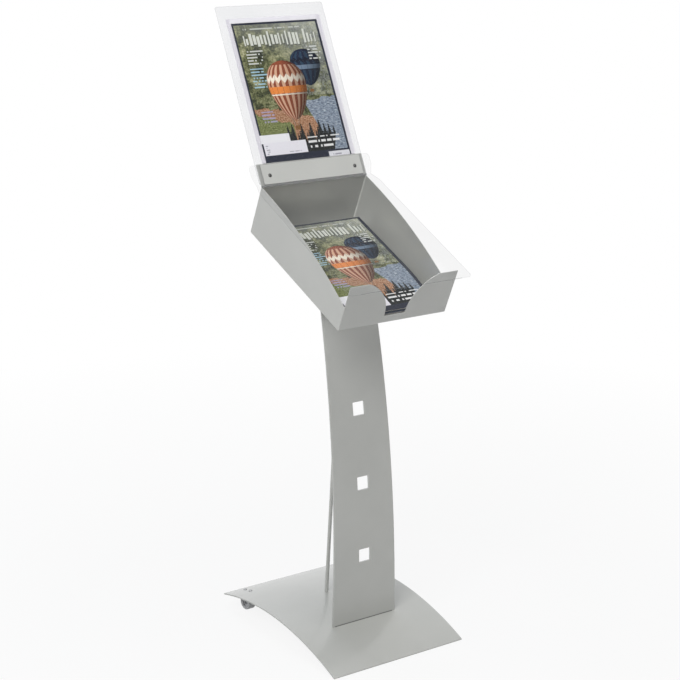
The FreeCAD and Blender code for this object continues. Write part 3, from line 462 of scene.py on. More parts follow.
class Cover(Paint):
    """Paints a printed cover: balloons over woods, a slope and a lake, and plain marks in the place of
    print. Places on it are shares of its width and height, from its lower left corner."""

    def __init__(self, name, solid, right, up, out):
        super().__init__(name)
        left, right_end = span(solid, right)
        foot, top = span(solid, up)
        self.out = out
        self.u = self.along(right, left, right_end - left)
        self.v = self.along(up, foot, top - foot)
        self.flat = self.join(self.u, self.times(self.v, (top - foot) / (right_end - left)))

    def join(self, x, y):
        node = self.add("ShaderNodeCombineXYZ")
        self.feed(node.inputs[0], x)
        self.feed(node.inputs[1], y)
        return node.outputs[0]

    def chance(self, x, y):
        """A random number that stays the same all over one cell."""
        node = self.add("ShaderNodeTexWhiteNoise", noise_dimensions="2D")
        cell = self.join(self.math("FLOOR", x), self.math("FLOOR", y))
        self.feed(node.inputs["Vector"], cell)
        return node.outputs[0]

    def lay(self, colour, mask, over):
        return self.mix(mask, colour, over)

    # -------------------- masks
    def box(self, u_low, u_high, v_low, v_high):
        """1 inside a rectangle of the cover, 0 outside."""
        return self.times(self.above(self.u, u_low), self.under(self.u, u_high),
                          self.above(self.v, v_low), self.under(self.v, v_high))

    def moved(self, u, v):
        return self.vector("ADD", self.flat, (u, v, 0))

    def below(self, height, sway, scale, seed, slope):
        """1 under a wavy line across the cover."""
        wave = self.spread(self.noise(scale, 4, self.moved(seed, seed * 3)), 0.3, 0.7, -sway, sway)
        line = self.plus(self.plus(wave, height), self.times(self.u, slope))
        return self.under(self.v, line)

    def rows(self, u_low, u_high, v_low, v_high, pitch, seed, cells=58, fill=0.45):
        """Rows of short dashes with gaps and ragged ends, in the place of lines of print."""
        line = self.over(self.minus(self.v, v_low), pitch)
        inked = self.under(self.math("FRACT", line), fill)
        words = self.above(self.chance(self.times(self.u, cells), self.plus(line, seed)), 0.2)
        short = self.times(self.chance(seed, line), (u_high - u_low) * 0.35)
        ragged = self.under(self.u, self.minus(u_high, short))
        return self.times(inked, words, ragged, self.box(u_low, u_high, v_low, v_high))

    def heading(self, shift_u=0.0, shift_v=0.0):
        """A row of strokes of uneven width and height, in the place of the title."""
        u = self.plus(self.u, shift_u)
        v = self.plus(self.v, shift_v)
        cell = self.times(u, 24)
        width = self.spread(self.chance(cell, 3), 0, 1, 0.35, 0.85)
        stroke = self.under(self.math("FRACT", cell), width)
        top = self.spread(self.chance(cell, 8), 0, 1, 0.885, 0.935)
        foot = self.spread(self.chance(cell, 5), 0, 1, 0.845, 0.825)
        kept = self.above(self.chance(cell, 1), 0.12)
        return self.times(stroke, kept, self.under(v, top), self.above(v, foot),
                          self.above(u, 0.10), self.under(u, 0.93))

    # -------------------- motifs
    def balloon(self, colour, u, v, wide, high, cloth, gores):
        """An envelope with gores, belts and a shaded side, its ropes and its basket; x and y count from
        its middle, in half widths and half heights."""
        x = self.over(self.minus(self.u, u), wide)
        y = self.over(self.minus(self.v, v), high)
        round_part = self.math("SQRT", self.math("MAXIMUM", self.minus(1.0, self.times(y, y)), 0.0))
        half = self.times(round_part, self.plus(self.times(y, 0.26), 0.95))
        inside = self.under(self.size(x), half)
        sine = self.math("MAXIMUM", self.math("MINIMUM", self.over(x, half), 0.999), -0.999)
        turn = self.math("ARCSINE", sine)
        gore = self.math("FRACT", self.plus(self.times(turn, gores / (2 * math.pi)), 0.25))
        stripe = self.under(gore, 0.5)
        dark, light, belt, rim = cloth
        skin = self.mix(stripe, light, dark)
        zigzag = self.plus(y, self.times(self.size(self.minus(gore, 0.5)), 0.28))
        skin = self.lay(skin, self.times(self.above(zigzag, 0.38), self.under(zigzag, 0.56)), rim)
        skin = self.lay(skin, self.times(self.above(y, -0.10), self.under(y, 0.13)), belt)
        skin = self.lay(skin, self.times(self.above(y, -0.16), self.under(y, -0.12)), rim)
        skin = self.lay(skin, self.above(y, 0.86), dark)
        seam = self.under(self.size(self.minus(gore, 0.5)), 0.035)
        skin = self.lay(skin, self.times(seam, 0.55), tuple(tone * 0.5 for tone in dark))
        lit = self.math("COSINE", self.plus(turn, 0.75))
        shade = self.spread(self.plus(lit, self.times(y, 0.25)), -0.2, 1.1, 0.22, 1.12)
        skin = self.mix_by("MULTIPLY", skin, self.grey(shade))
        colour = self.lay(colour, inside, skin)
        for sign in (-1, 1):
            slant = self.plus(self.times(self.plus(y, 1.22), 0.42 * sign), 0.055 * sign)
            rope = self.under(self.size(self.minus(x, slant)), 0.018)
            colour = self.lay(colour, self.times(rope, self.above(y, -1.2), self.under(y, -0.93)), ROPE)
        basket = self.times(self.under(self.size(x), 0.13), self.above(y, -1.34), self.under(y, -1.19))
        return self.lay(colour, basket, BASKET)

    def grey(self, value):
        node = self.add("ShaderNodeCombineColor")
        for socket in node.inputs[:3]:
            self.feed(socket, value)
        return node.outputs[0]

    def woods(self):
        """Leaves in sun and shade, paler towards the top, with bare twigs on the right."""
        clumps = self.noise(7, 3, self.flat, 0.6)
        leaves = self.noise(44, 6, self.moved(3, 1), 0.75)
        tone = self.plus(self.times(clumps, 0.55), self.times(leaves, 0.45))
        colour = self.ramp(tone, (0.37, (0.008, 0.011, 0.007)), (0.47, (0.052, 0.060, 0.028)),
                           (0.54, (0.180, 0.190, 0.088)), (0.61, (0.40, 0.39, 0.23)),
                           (0.70, (0.68, 0.66, 0.56)))
        haze = self.spread(self.plus(self.v, self.times(self.u, 0.25)), 0.80, 1.2, 0.0, 0.42)
        colour = self.mix(haze, colour, (0.44, 0.46, 0.45))
        twigs = self.noise(15, 6, self.vector("MULTIPLY", self.moved(9, 2), (2.6, 0.8, 1)), 0.8, 1.6)
        thin = self.under(self.size(self.minus(twigs, 0.5)), 0.014)
        mask = self.times(thin, self.spread(self.u, 0.45, 0.8, 0.0, 0.8), self.above(self.v, 0.45))
        return self.lay(colour, mask, (0.55, 0.58, 0.58))

    def land(self, colour):
        """A brown slope, dark firs and a lake, from the back to the front."""
        grass = self.noise(70, 5, self.flat, 0.75)
        slope = self.ramp(grass, (0.34, (0.10, 0.045, 0.022)), (0.50, (0.34, 0.165, 0.085)),
                          (0.62, (0.62, 0.42, 0.29)))
        colour = self.lay(colour, self.below(0.40, 0.035, 4.5, 5.1, -0.14), slope)
        meadow = self.ramp(grass, (0.36, (0.045, 0.060, 0.022)), (0.52, (0.17, 0.20, 0.07)),
                           (0.66, (0.42, 0.43, 0.22)))
        left = self.under(self.u, 0.42)
        colour = self.lay(colour, self.times(self.below(0.36, 0.05, 6, 2.3, -0.30), left), meadow)
        ripples = self.noise(30, 4, self.vector("MULTIPLY", self.flat, (1, 5, 1)), 0.7)
        water = self.ramp(ripples, (0.34, (0.045, 0.058, 0.085)), (0.48, (0.16, 0.20, 0.27)),
                          (0.58, (0.37, 0.43, 0.49)), (0.70, (0.76, 0.79, 0.80)))
        shore = self.above(self.plus(self.u, self.times(self.v, 0.55)), 0.83)
        colour = self.lay(colour, self.times(self.below(0.395, 0.02, 9, 7.7, 0.04), shore), water)
        bark = self.ramp(grass, (0.42, (0.004, 0.005, 0.006)), (0.68, (0.040, 0.046, 0.044)))
        for shift, low, high in ((0.0, 0.18, 0.33), (0.5, 0.14, 0.27)):
            colour = self.lay(colour, self.firs(shift, low, high), bark)
        return colour

    def firs(self, shift, low, high):
        """A row of pointed firs with ragged boughs, whose tops lie between low and high."""
        cell = self.plus(self.times(self.u, 19), shift)
        top = self.spread(self.chance(cell, 6 + shift), 0, 1, low, high)
        bough = self.times(self.math("FRACT", self.times(self.v, -62)), 0.16)
        half = self.plus(self.times(self.minus(top, self.v), 4.2), bough)
        reach = self.size(self.minus(self.math("FRACT", cell), 0.5))
        right_end = self.under(self.minus(self.u, self.times(self.v, 0.5)), 0.80)
        return self.times(self.under(reach, half), self.under(self.v, top),
                          self.above(self.u, 0.32), right_end)

    def finish(self, gloss, specular, border):
        """The whole cover; border is the width of the dark margin at its sides."""
        colour = self.land(self.woods())
        colour = self.balloon(colour, 0.735, 0.655, 0.175, 0.135, BLUE_CLOTH, 14)
        colour = self.balloon(colour, 0.465, 0.50, 0.225, 0.215, ORANGE_CLOTH, 18)
        colour = self.lay(colour, self.times(self.heading(-0.005, 0.006), 0.7), TITLE_SHADOW)
        colour = self.lay(colour, self.times(self.heading(), 0.86), TITLE)
        line = self.rows(0.12, 0.80, 0.948, 0.966, 0.018, 2, 70, 0.55)
        colour = self.lay(colour, line, (0.50, 0.52, 0.48))
        for area, pitch, seed, tone in PRINT:
            colour = self.lay(colour, self.times(self.rows(*area, pitch, seed), 0.9), tone)
        colour = self.lay(colour, self.box(0.0, 0.34, 0.135, 0.195), (0.80, 0.80, 0.83))
        colour = self.label(colour, (0.01, 0.51, 0.048, 0.138), (0.76, 0.75, 0.80),
                            (0.30, 0.50, 0.060, 0.076, 0.016, 5, 80), (0.45, 0.45, 0.50))
        lines = self.rows(0.045, 0.085, 0.058, 0.128, 0.014, 11, 120)
        colour = self.lay(colour, lines, (0.30, 0.30, 0.34))
        for edge in ((-1, border, 0.195, 2), (-1, border, -1, 0.135), (1 - border, 2, -1, 2),
                     (-1, 2, 0.985, 2), (-1, 2, -1, 0.049)):
            colour = self.lay(colour, self.box(*edge), MARGIN)
        colour = self.label(colour, (0.74, 0.985, -0.01, 0.036), (0.70, 0.70, 0.74),
                            (0.78, 0.94, 0.008, 0.032, 0.024, 15, 90), (0.36, 0.36, 0.40))
        return self.printed(colour, gloss, specular)

    def label(self, colour, area, paper, lines, ink):
        """A pasted label with a few lines on it."""
        colour = self.lay(colour, self.box(*area), paper)
        return self.lay(colour, self.rows(*lines), ink)

    def printed(self, colour, gloss, specular):
        """The print is on the front only; the other side and the cut edges are bare paper."""
        front = self.above(self.facing(self.out), 0.3)
        fibre = self.ramp(self.noise(500, 3), (0.3, (0.66, 0.66, 0.64)), (0.7, (0.76, 0.76, 0.74)))
        rough = self.spread(self.noise(1400, 1), 0.3, 0.7, gloss, gloss + 0.08)
        waves = self.bump(self.noise(14, 2), 0.15, 0.4 * MM)
        return self.surface(Base_Color=self.mix(front, fibre, colour), Roughness=rough,
                            Specular_IOR_Level=specular, Normal=waves)


PAGE = 0.12 * MM


def page_edges(name, layers):
    """Paper seen from the side: fine layers, square to the given direction."""
    paint = Paint(name)
    rise = paint.along(layers, 0, PAGE)
    line = paint.math("SINE", paint.plus(rise, paint.times(paint.noise(300, 2), 4.0)))
    colour = paint.ramp(paint.spread(line, -1, 1, 0, 1), (0.1, (0.42, 0.42, 0.40)),
                        (0.8, (0.70, 0.69, 0.66)))
    return paint.surface(Base_Color=colour, Roughness=0.8, Normal=paint.bump(line, 0.3, 0.05 * MM))


# -------------------- mesh helpers
def new_piece(name, points, faces, materials, body=None, slot=None, smooth=True):
    """A mesh object; each face is (corner numbers, material number)."""
    mesh = bpy.data.meshes.new(name)
    mesh.from_pydata(points, [], [face for face, _ in faces])
    for polygon, (_, number) in zip(mesh.polygons, faces):
        polygon.material_index = number
        polygon.use_smooth = smooth
    for material in materials:
        mesh.materials.append(material)
    piece = bpy.data.objects.new(name, mesh)
    bpy.context.scene.collection.objects.link(piece)
    tidy_normals(piece)
    if body:
        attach(piece, body)
    return piece


def tidy_normals(piece):
    """Merges doubled points and turns every face outwards."""
    work = bmesh.new()
    work.from_mesh(piece.data)
    bmesh.ops.remove_doubles(work, verts=work.verts, dist=0.001 * MM)
    bmesh.ops.recalc_face_normals(work, faces=work.faces)
    work.to_mesh(piece.data)
    work.free()


def sharpen(piece, degrees=35):
    """Keeps edges sharper than the angle crisp on a smooth piece."""
    piece.data.set_sharp_from_angle(angle=math.radians(degrees))


def turned(name, profile, centre, axis, materials, steps=64, **settings):
    """A solid of revolution; the profile is (out from the axis, along it), from end to end."""
    side = axis.orthogonal().normalized()
    third = axis.cross(side)
    points, faces = [], []
    for step in range(steps):
        turn = 2 * math.pi * step / steps
        out = side * math.cos(turn) + third * math.sin(turn)
        points += [centre + out * radius + axis * rise for radius, rise in profile]
    count = len(profile)
    for step in range(steps):
        for row in range(count - 1):
            first, second = step * count + row, (step + 1) % steps * count + row
            faces.append(((first, second, second + 1, first + 1), 0))
    piece = new_piece(name, points, faces, materials, **settings)
    sharpen(piece)
    return piece


def steps_between(first, last, count):
    """Evenly spaced numbers from the first to the last."""
    return [first + (last - first) * step / count for step in range(count + 1)]


def arc(centre_x, centre_y, radius, start, finish, steps):
    """Points of an arc; its angles are in degrees from the x direction."""
    turns = [math.radians(turn) for turn in steps_between(start, finish, steps)]
    return [(centre_x + radius * math.cos(turn), centre_y + radius * math.sin(turn)) for turn in turns]


def sheet_faces(rows, wide, back):
    """Faces of a thick sheet, whose front points all come before its back points, row after row. The
    front has material 0, the rim has material 1, and back is the material of the back."""
    total = rows * wide
    faces = []
    for row in range(rows - 1):
        for column in range(wide - 1):
            first = row * wide + column
            near = (first, first + 1, first + wide + 1, first + wide)
            faces += [(near, 0), (tuple(total + number for number in reversed(near)), back)]
        for first in (row * wide, row * wide + wide - 1):
            faces.append(((first, first + wide, first + wide + total, first + total), 1))
    for first in [*range(wide - 1), *range(total - wide, total - 1)]:
        faces.append(((first, first + 1, first + 1 + total, first + total), 1))
    return faces


def tube_faces(rows, count):
    """Faces round a tube of closed rows of points, without its ends."""
    return [((row * count + step, row * count + (step + 1) % count,
              (row + 1) * count + (step + 1) % count, (row + 1) * count + step), 0)
            for row in range(rows - 1) for step in range(count)]


# -------------------- the clear lid, one bent sheet
LID_FLARE = 22 * MM
LID_CORNER = 8 * MM
CREASE_REACH = 2 * MM
CREASE_ROWS = 6
CORNER_ROWS = 6
LID_COLUMNS = 10
PLAIN_ROWS = 6


def half_width(reach, end, crease_half, full_half):
    """Half the sheet's width at a distance from the crease, with a rounded corner at its end."""
    half = crease_half + (full_half - crease_half) * min(1, reach / LID_FLARE)
    past = reach - (end - LID_CORNER)
    if past > 0:
        half -= LID_CORNER - math.sqrt(max(LID_CORNER ** 2 - past ** 2, 0))
    return half


def row_places(end):
    """Distances from the crease at which the sheet gets a row of points, the outermost first."""
    corner = [end - LID_CORNER + LID_CORNER * math.sin(math.pi / 2 * step / CORNER_ROWS)
              for step in range(CORNER_ROWS, -1, -1)]
    plain = [LID_FLARE + (end - LID_CORNER - LID_FLARE) * step / PLAIN_ROWS
             for step in range(PLAIN_ROWS - 1, 0, -1)]
    return corner + plain + [LID_FLARE, LID_FLARE / 2, CREASE_REACH * 2]


def make_lid(face_material, rim_material):
    """The clear sheet from the top of its band to the lid's front edge; it bends at the crease."""
    band = facets("lid_band")
    lid = facets("clear_lid")
    lid_up = widest_normal(lid)
    lid_up = lid_up if lid_up.z > 0 else -lid_up
    lid_way = ACROSS.cross(lid_up)
    lid_way = lid_way if lid_way.y < 0 else -lid_way
    band_end = span(band, UP_DISPLAY)[1] - HINGE.dot(UP_DISPLAY)
    lid_end = span(lid, lid_way)[1] - HINGE.dot(lid_way)
    gauge = extent(lid, lid_up)
    full_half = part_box("clear_lid")[1].x
    crease_half = max(point.x for corners, _, _ in lid for point in corners
                      if (point - HINGE).dot(lid_way) < CREASE_REACH)
    rows = [(HINGE + UP_DISPLAY * reach, OUT_DISPLAY,
             half_width(reach, band_end, crease_half, full_half)) for reach in row_places(band_end)]
    start = HINGE + UP_DISPLAY * CREASE_REACH
    finish = HINGE + lid_way * CREASE_REACH
    for step in range(CREASE_ROWS + 1):
        share = step / CREASE_ROWS
        place = start * (1 - share) ** 2 + HINGE * 2 * share * (1 - share) + finish * share ** 2
        rows.append((place, OUT_DISPLAY.lerp(lid_up, share).normalized(), crease_half))
    rows += [(HINGE + lid_way * reach, lid_up, half_width(reach, lid_end, crease_half, full_half))
             for reach in reversed(row_places(lid_end))]
    columns = [2 * column / LID_COLUMNS - 1 for column in range(LID_COLUMNS + 1)]
    front = [place + ACROSS * half * share for place, _, half in rows for share in columns]
    back = [place - out * gauge + ACROSS * half * share
            for place, out, half in rows for share in columns]
    piece = new_piece("lid_sheet", front + back, sheet_faces(len(rows), len(columns), 0),
                      [face_material, rim_material], slot="clear_sheet")
    sharpen(piece, 50)
    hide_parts("lid_band", "clear_lid")
    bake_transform(piece)


# -------------------- magazines
COVER_GAUGE = 0.3 * MM
PAGE_DEPTH = 0.33 * MM  # from the cover's outside, clear of its inside
PAGE_INSET = 0.8 * MM  # from the cover's cut edges
SPINE_STEPS = 10
SPINE_DEPTH = 0.55  # the spine's depth, as a share of its half height
FLAT_STEPS = 10
BOW_ROWS = 24
PILE_SAG = 0.28  # share of its height that the pile loses in front
PILE_SAG_LENGTH = 110 * MM
CURL = 3.6 * MM  # how far the top copy's fore edge would stand up
CURL_START = 0.55  # share of the width at which it starts to


def magazine(number, solid, bottom, top, cover_material, edge_material, blank_material):
    """One copy: a cover folded round its spine, and the block of pages inside it. Gives the cover."""
    low_x, high_x = span(solid, ACROSS)
    front, back = span(solid, ALONG_TRAY)
    floor, ceiling = span(solid, UP_TRAY)
    wide = high_x - low_x
    lift = CURL if top else 0.0

    def at(x, y, z):
        """A point in the tray's frame; the pile thins to its front, and the top copy's edge curls."""
        near = max(0, 1 - (y - front) / PILE_SAG_LENGTH)
        sag = PILE_SAG * near ** 2 * (3 - 2 * near) * (z - bottom)
        curl = lift * max(0, (x - low_x) / wide - CURL_START) ** 2
        return ACROSS * x + ALONG_TRAY * y + UP_TRAY * (z + curl - sag)

    def section(inset, end=0):
        """Outline across the copy, from the upper fore edge round the spine to the lower one."""
        upper = [(high_x - end - wide * step / FLAT_STEPS, ceiling - inset)
                 for step in range(FLAT_STEPS)]
        radius = (ceiling - floor) / 2 - inset
        turns = steps_between(math.pi / 2, math.pi * 3 / 2, SPINE_STEPS)
        round_part = [(low_x + inset + SPINE_DEPTH * radius * (1 + math.cos(turn)),
                       (floor + ceiling) / 2 + radius * math.sin(turn)) for turn in turns]
        return upper + round_part + [(x, floor + inset) for x, _ in reversed(upper)]

    def points(ends, outline):
        return [at(x, y, z) for y in steps_between(*ends, BOW_ROWS) for x, z in outline]

    outer = section(0)
    inner = section(COVER_GAUGE)
    ends = (front, back)
    cover = new_piece(f"magazine_cover_{number}", points(ends, outer) + points(ends, inner),
                      sheet_faces(BOW_ROWS + 1, len(outer), 1), [cover_material, blank_material],
                      body="magazines", slot="magazines")
    sharpen(cover)
    pages = section(PAGE_DEPTH, PAGE_INSET)
    count = len(pages)
    faces = tube_faces(BOW_ROWS + 1, count)
    for start in (0, BOW_ROWS * count):
        for step in range(count // 2):
            other = count - 1 - step
            corners = dict.fromkeys((step, step + 1, other - 1, other))  # the middle one is a triangle
            faces.append((tuple(start + corner for corner in corners), 0))
    new_piece(f"magazine_pages_{number}", points((front + PAGE_INSET, back - PAGE_INSET), pages), faces,
              [edge_material], body="magazines", slot="magazines", smooth=False)
    return cover


def make_magazines(edge_material, blank_material):
    """The pile, from the lowest copy to the top one, whose cover shows."""
    copies = sorted(solids("magazine_pile"), key=lambda solid: span(solid, UP_TRAY)[0])
    bottom = span(copies[0], UP_TRAY)[0]
    shown = copies[-1]
    # the pile's dark margin is wider than the card's: partly the print's own margin, partly painted
    # shadow along the copies' edges
    cover = Cover("magazine_cover", shown, ACROSS, ALONG_TRAY, UP_TRAY).finish(0.24, 0.25, 0.038)
    for number, solid in enumerate(copies):
        piece = magazine(number, solid, bottom, solid is shown, cover, edge_material, blank_material)
    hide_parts("magazine_pile")


# -------------------- fasteners and rollers
# a button-head screw, as shares of its head's radius
SHANK = 0.5
SHANK_TIP = 0.4
TIP_BEVEL = 0.125
HEAD_HEIGHT = 0.55
DOME_RADIUS = 1.25
DOME_TURNS = (37, 75, 7)  # first and last angle, and the steps between them
SOCKET = 0.31
SOCKET_DEPTHS = (0.45, 0.55)  # at the socket's wall and in its middle


def make_screws(node, body, material, proud=0.0):
    """Button-head screws with a socket, in the places of a node's plain ones; proud is the gauge of
    what the scene adds under their heads."""
    for number, solid in enumerate(solids(node)):
        axis = widest_normal(solid)
        side = axis.orthogonal().normalized()
        low, high = span(solid, axis)
        head = extent(solid, side) / 2
        centre = middle(solid, (side, axis.cross(side), axis))
        centre += axis * (low - centre.dot(axis))
        tall = high - low + proud
        foot = tall - HEAD_HEIGHT * head
        dome = arc(0, 0, head * DOME_RADIUS, *DOME_TURNS)
        crest = max(rise for _, rise in dome)
        dome = [(radius, rise - crest + tall) for radius, rise in dome]
        wall, point = (tall - depth * head for depth in SOCKET_DEPTHS)
        shank = SHANK * head
        socket = SOCKET * head
        profile = [(0, 0), (SHANK_TIP * head, 0), (shank, TIP_BEVEL * head), (shank, foot), (head, foot),
                   (head, dome[0][1]), *dome, (socket, tall), (socket, wall), (0, point)]
        piece = turned(f"{node}_{number}", profile, centre, axis, [material], steps=48,
                       body=body, slot="bright_steel")
    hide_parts(node)


STRIP_GAUGE = 0.6 * MM
STRIP_HALF = 121 * MM
STRIP_FOOT = 2.5 * MM  # above the crease, clear of the opened lid
STRIP_TOP = 1.0 * MM  # below the band's top
STRIP_CORNER = 2 * MM
STRIP_HOLE = 0.6  # of the screw head's radius


def make_clamp_strip(material):
    """The flat strip that the flange screws press on the lid's band."""
    high = span(facets("lid_band"), UP_DISPLAY)[1] - HINGE.dot(UP_DISPLAY) - STRIP_TOP - STRIP_CORNER
    low = STRIP_FOOT + STRIP_CORNER
    right = STRIP_HALF - STRIP_CORNER
    outer = []
    for x, y, turn in ((right, high, 0), (-right, high, 90), (-right, low, 180), (right, low, 270)):
        outer += arc(x, y, STRIP_CORNER, turn, turn + 90, 4)
    loops = [outer]
    for solid in solids("flange_screws"):
        place = middle(solid, (ACROSS, UP_DISPLAY, OUT_DISPLAY)) - HINGE
        head = extent(solid, ACROSS) / 2
        loops.append(arc(place.dot(ACROSS), place.dot(UP_DISPLAY), head * STRIP_HOLE, 0, 360, 32)[:-1])
    work = bmesh.new()
    for loop in loops:
        corners = [work.verts.new(HINGE + ACROSS * x + UP_DISPLAY * y) for x, y in loop]
        for first, second in zip(corners, corners[1:] + corners[:1]):
            work.edges.new((first, second))
    bmesh.ops.triangle_fill(work, edges=work.edges[:], use_beauty=True, use_dissolve=False)
    sheet = bmesh.ops.extrude_face_region(work, geom=work.faces[:])
    raised = [item for item in sheet["geom"] if isinstance(item, bmesh.types.BMVert)]
    bmesh.ops.translate(work, verts=raised, vec=OUT_DISPLAY * STRIP_GAUGE)
    points = [vertex.co.copy() for vertex in work.verts]
    work.verts.index_update()
    faces = [(tuple(vertex.index for vertex in face.verts), 0) for face in work.faces]
    work.free()
    new_piece("lid_clamp_strip", points, faces, [material], body="stand", slot="silver_powder_coat",
              smooth=False)


SEAM_RADIUS = 2.2 * MM
SEAM_STEPS = 6
SEAM_SINK = 0.2 * MM  # how deep the beads reach into the plates


def make_seams(material):
    """Hollow weld beads in the tray's back corners, in a paler copy of the coat: a painted highlight."""
    plate = facets("tray_side_right")
    inner = span(plate, ACROSS)[0]
    back = span(plate, ALONG_TRAY)[1]
    rear = [point.dot(UP_TRAY) for corners, _, _ in plate for point in corners
            if back - point.dot(ALONG_TRAY) < 0.01 * MM]
    turns = steps_between(0, math.pi / 2, SEAM_STEPS)
    hollow = [(SEAM_RADIUS * (1 - math.cos(turn)), SEAM_RADIUS * (1 - math.sin(turn)))
              for turn in turns]
    section = [(-SEAM_SINK, -SEAM_SINK)] + hollow
    count = len(section)
    ends = [(tuple(range(count)), 0), (tuple(range(count, 2 * count)), 0)]
    for side, sign in (("left", -1), ("right", 1)):
        points = [ACROSS * sign * (inner - x) + ALONG_TRAY * (back - y) + UP_TRAY * height
                  for height in (min(rear), max(rear)) for x, y in section]
        bead = new_piece(f"tray_seam_{side}", points, tube_faces(2, count) + ends, [material],
                         body="stand", slot="silver_powder_coat")
        sharpen(bead)


def make_roller(side, material):
    """Moulded roller: crowned tread with round shoulders, dished sides and a hub boss."""
    node = f"castor_roller_{side}"
    low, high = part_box(node)
    centre = (low + high) / 2
    radius = (high.z - low.z) / 2
    half = (high.x - low.x) / 2
    bore = 2.55 * MM
    shoulder = 3.2 * MM
    boss = 6.0 * MM
    dish = 2.6 * MM
    bevel = 0.6 * MM
    rim = radius - 5.5 * MM
    right = [(bore, half), (boss - bevel, half), (boss, half - bevel),
             (boss + dish * 0.3, half - dish), (rim - dish * 0.5, half - dish),
             (rim, half - 0.5 * MM), (rim + bevel, half)]
    right += arc(radius - shoulder, half - shoulder, shoulder, 90, 0, 8)
    profile = right + [(out, -rise) for out, rise in reversed(right)] + [(bore, half)]
    piece = turned(node + "_moulded", profile, centre, ACROSS, [material], steps=96,
                   body=f"castor_wheel_{side}", slot="roller_plastic")
    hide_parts(node)


# -------------------- dressing the CAD nodes
def dress(material, *nodes):
    """Gives CAD pieces their material."""
    for node in nodes:
        slots = frame["nodes"][node].data.materials
        slots.clear()
        slots.append(material)


def make_card():
    """The printed card in the pocket; it stays the CAD piece and gets its cover."""
    cover = Cover("printed_card", facets("poster_card"), ACROSS, UP_DISPLAY, OUT_DISPLAY)
    dress(cover.finish(0.3, 0.12, 0.024), "poster_card")


MILKY_ALPHA = 0.50
WINDOW_ALPHA = 0.006
PANE_EDGE_ALPHA = 0.45


def make_pocket():
    """Both panes and the strips between them; the front pane is milky outside the card."""
    card = facets("poster_card")
    left, right = span(card, ACROSS)
    top = span(card, UP_DISPLAY)[1]
    paint = Paint("clear_pocket_front")
    across = paint.along(ACROSS)
    upright = paint.along(UP_DISPLAY)
    window = paint.times(paint.above(across, left), paint.under(across, right),
                         paint.under(upright, top))
    veil = paint.spread(window, 0, 1, MILKY_ALPHA, WINDOW_ALPHA)
    edge = paint.under(paint.size(paint.facing(OUT_DISPLAY)), EDGE_FACING)
    veil = paint.math("MAXIMUM", veil, paint.times(edge, PANE_EDGE_ALPHA))
    tone = paint.ramp(paint.noise(12, 2), (0.3, (0.86, 0.84, 0.90)), (0.7, (0.90, 0.88, 0.94)))
    dress(paint.surface(Base_Color=tone, Roughness=0.05, Alpha=veil), "poster_front_pane")
    dress(clear_face("clear_pocket_back", (0.55, 0.56, 0.60), 0.15, OUT_DISPLAY), "poster_back_pane")
    dress(clear_face("spacer_tape", (0.88, 0.86, 0.92), 0.55), "pocket_spacers")


def dress_frame(coat):
    """The painted plates, the castors' forks and the glides."""
    dress(coat, "base_plate", "rear_stay_rod", "stay_lug", "head_plate",
          "tray_sheet", "tray_side_left", "tray_side_right")
    # the column's coat carries a painted shade line along its foot
    dress(powder_coat("column_coat", painted_shade=foot_painted_shade), "column_panel")
    dress(dark_fork(), "castor_fork_left", "castor_fork_right")
    dress(glide_rubber(), "front_glides")


# -------------------- stage
VIEW_AZIMUTH = math.radians(-34.756)
VIEW_ELEVATION = math.radians(15.191)
VIEW_LENS = 91.87
VIEW_FROM_BASE = Vector((-1.9525, -2.5999, 1.5588))  # y counts from the base plate's front edge


def make_camera():
    camera = bpy.data.objects.new("camera", bpy.data.cameras.new("camera"))
    bpy.context.scene.collection.objects.link(camera)
    camera.data.lens = VIEW_LENS
    camera.data.sensor_width = 36
    camera.data.clip_end = 60
    back = Vector((math.sin(VIEW_AZIMUTH) * math.cos(VIEW_ELEVATION),
                   -math.cos(VIEW_AZIMUTH) * math.cos(VIEW_ELEVATION), math.sin(VIEW_ELEVATION)))
    front_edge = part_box("base_plate")[0].y
    camera.location = VIEW_FROM_BASE + Vector((0, front_edge, 0))
    camera.rotation_euler = (-back).to_track_quat("-Z", "Y").to_euler()
    bpy.context.scene.camera = camera


FLOOR_SIZE = 14.0
FLOOR_GREY = (0.70, 0.70, 0.70)
FLOOR_FADE = (0.6, 2.2, 0.88, 1.0)  # lifted by 0.88 within 0.6 m, wholly past 2.2 m
WORLD_COLOUR = (0.96, 0.98, 1.0)
WORLD_STRENGTH = 0.04


def make_floor():
    """A wide pale floor; the camera sees it lifted to white, with the shadow left in it."""
    paint = Paint("floor")
    rays = paint.add("ShaderNodeLightPath").outputs
    matt = paint.add("ShaderNodeBsdfDiffuse")
    matt.inputs["Color"].default_value = (*FLOOR_GREY, 1)
    glow = paint.add("ShaderNodeEmission")
    fade = paint.spread(paint.vector("LENGTH", paint.place, out="Value"), *FLOOR_FADE)
    seen = paint.times(rays["Is Camera Ray"], fade)
    mirrored = paint.math("MAXIMUM", rays["Is Glossy Ray"], rays["Is Transmission Ray"])
    material = paint.two_shaders(paint.math("MAXIMUM", seen, mirrored), matt.outputs[0],
                                 glow.outputs[0], "ShaderNodeOutputMaterial")
    mesh = bpy.data.meshes.new("floor")
    corners = ((-1, -1), (1, -1), (1, 1), (-1, 1))
    mesh.from_pydata([(x * FLOOR_SIZE, y * FLOOR_SIZE, 0) for x, y in corners], [], [(0, 1, 2, 3)])
    mesh.materials.append(material)
    floor = bpy.data.objects.new("floor", mesh)
    bpy.context.scene.collection.objects.link(floor)


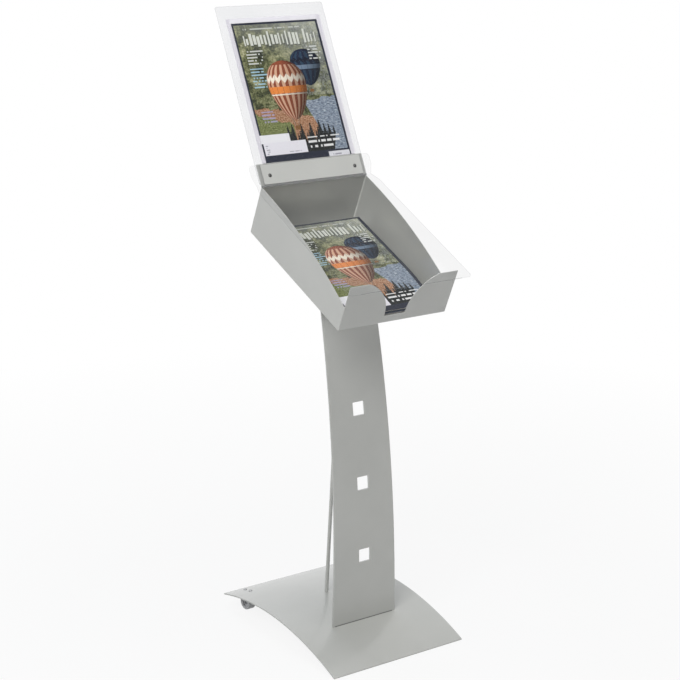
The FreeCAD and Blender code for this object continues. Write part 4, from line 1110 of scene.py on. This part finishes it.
def make_world():
    """Even pale light; what the camera, mirrors and clear sheets see of it is white."""
    paint = Paint("studio", "worlds")
    rays = paint.add("ShaderNodeLightPath").outputs
    soft = paint.add("ShaderNodeBackground")
    soft.inputs["Color"].default_value = (*WORLD_COLOUR, 1)
    soft.inputs["Strength"].default_value = WORLD_STRENGTH
    white = paint.add("ShaderNodeBackground")
    white.inputs["Color"].default_value = (1, 1, 1, 1)
    seen = paint.math("MAXIMUM", rays["Is Camera Ray"], rays["Is Glossy Ray"])
    seen = paint.math("MAXIMUM", seen, rays["Is Transmission Ray"])
    bpy.context.scene.world = paint.two_shaders(seen, soft.outputs[0], white.outputs[0],
                                                "ShaderNodeOutputWorld")


LAMP_SIZE = 2.5
LAMP_TARGET = Vector((0, 0, 0.7))
NEUTRAL = (1, 1, 1)
COOL = (0.85, 0.91, 1.0)
LAMPS = {  # place, power and colour of each soft box
    "key": ((-3.2, -2.2, 3.6), 156, NEUTRAL),
    "overhead": ((0, -0.6, 4.2), 67, NEUTRAL),
    "fill": ((2.8, -2.6, 2.0), 13, NEUTRAL),
    "rear": ((0.5, 3.0, 3.2), 40, COOL),
    "rear_left": ((-3.2, 2.4, 2.6), 20, COOL),
}


def make_lamp(name, place, power, colour):
    lamp = bpy.data.objects.new(name, bpy.data.lights.new(name, "AREA"))
    bpy.context.scene.collection.objects.link(lamp)
    lamp.data.size = LAMP_SIZE
    lamp.data.energy = power
    lamp.data.color = colour
    lamp.location = place
    lamp.rotation_euler = (LAMP_TARGET - Vector(place)).to_track_quat("-Z", "Y").to_euler()


def make_stage():
    make_camera()
    make_floor()
    make_world()
    for name, settings in LAMPS.items():
        make_lamp(name, *settings)
    bpy.context.scene.view_settings.view_transform = "Standard"


# -------------------- the rack
def make_rack():
    coat = powder_coat()
    steel = zinc_steel()
    roller = roller_plastic()
    dress_frame(coat)
    make_clamp_strip(coat)
    # the beads' paler coat is a painted highlight along the tray's back corners
    make_seams(powder_coat("seam_highlight_coat", SEAM_HIGHLIGHT_LIFT))
    dress(steel, "foot_nuts", "stay_nuts", "tray_studs", "tray_nuts", "flange_nuts",
          "castor_axle_left", "castor_axle_right")
    make_pocket()
    make_card()
    # the lid's face carries painted shade and painted light, its rim painted shade along the front edge
    make_lid(clear_face("clear_lid_face", shade=lid_shade, opening=lid_painted_light),
             clear_face("clear_lid_rim", RIM_TINT, RIM_OUTSIDE, shade=rim_shade))
    make_magazines(page_edges("page_edges", UP_TRAY), page_edges("page_insides", ACROSS))
    make_screws("flange_screws", "stand", dark_zinc(), STRIP_GAUGE)
    for node in ("foot_screws", "castor_screws"):
        make_screws(node, "stand", steel)
    for side in ("left", "right"):
        make_roller(side, roller)


make_rack()
make_stage()
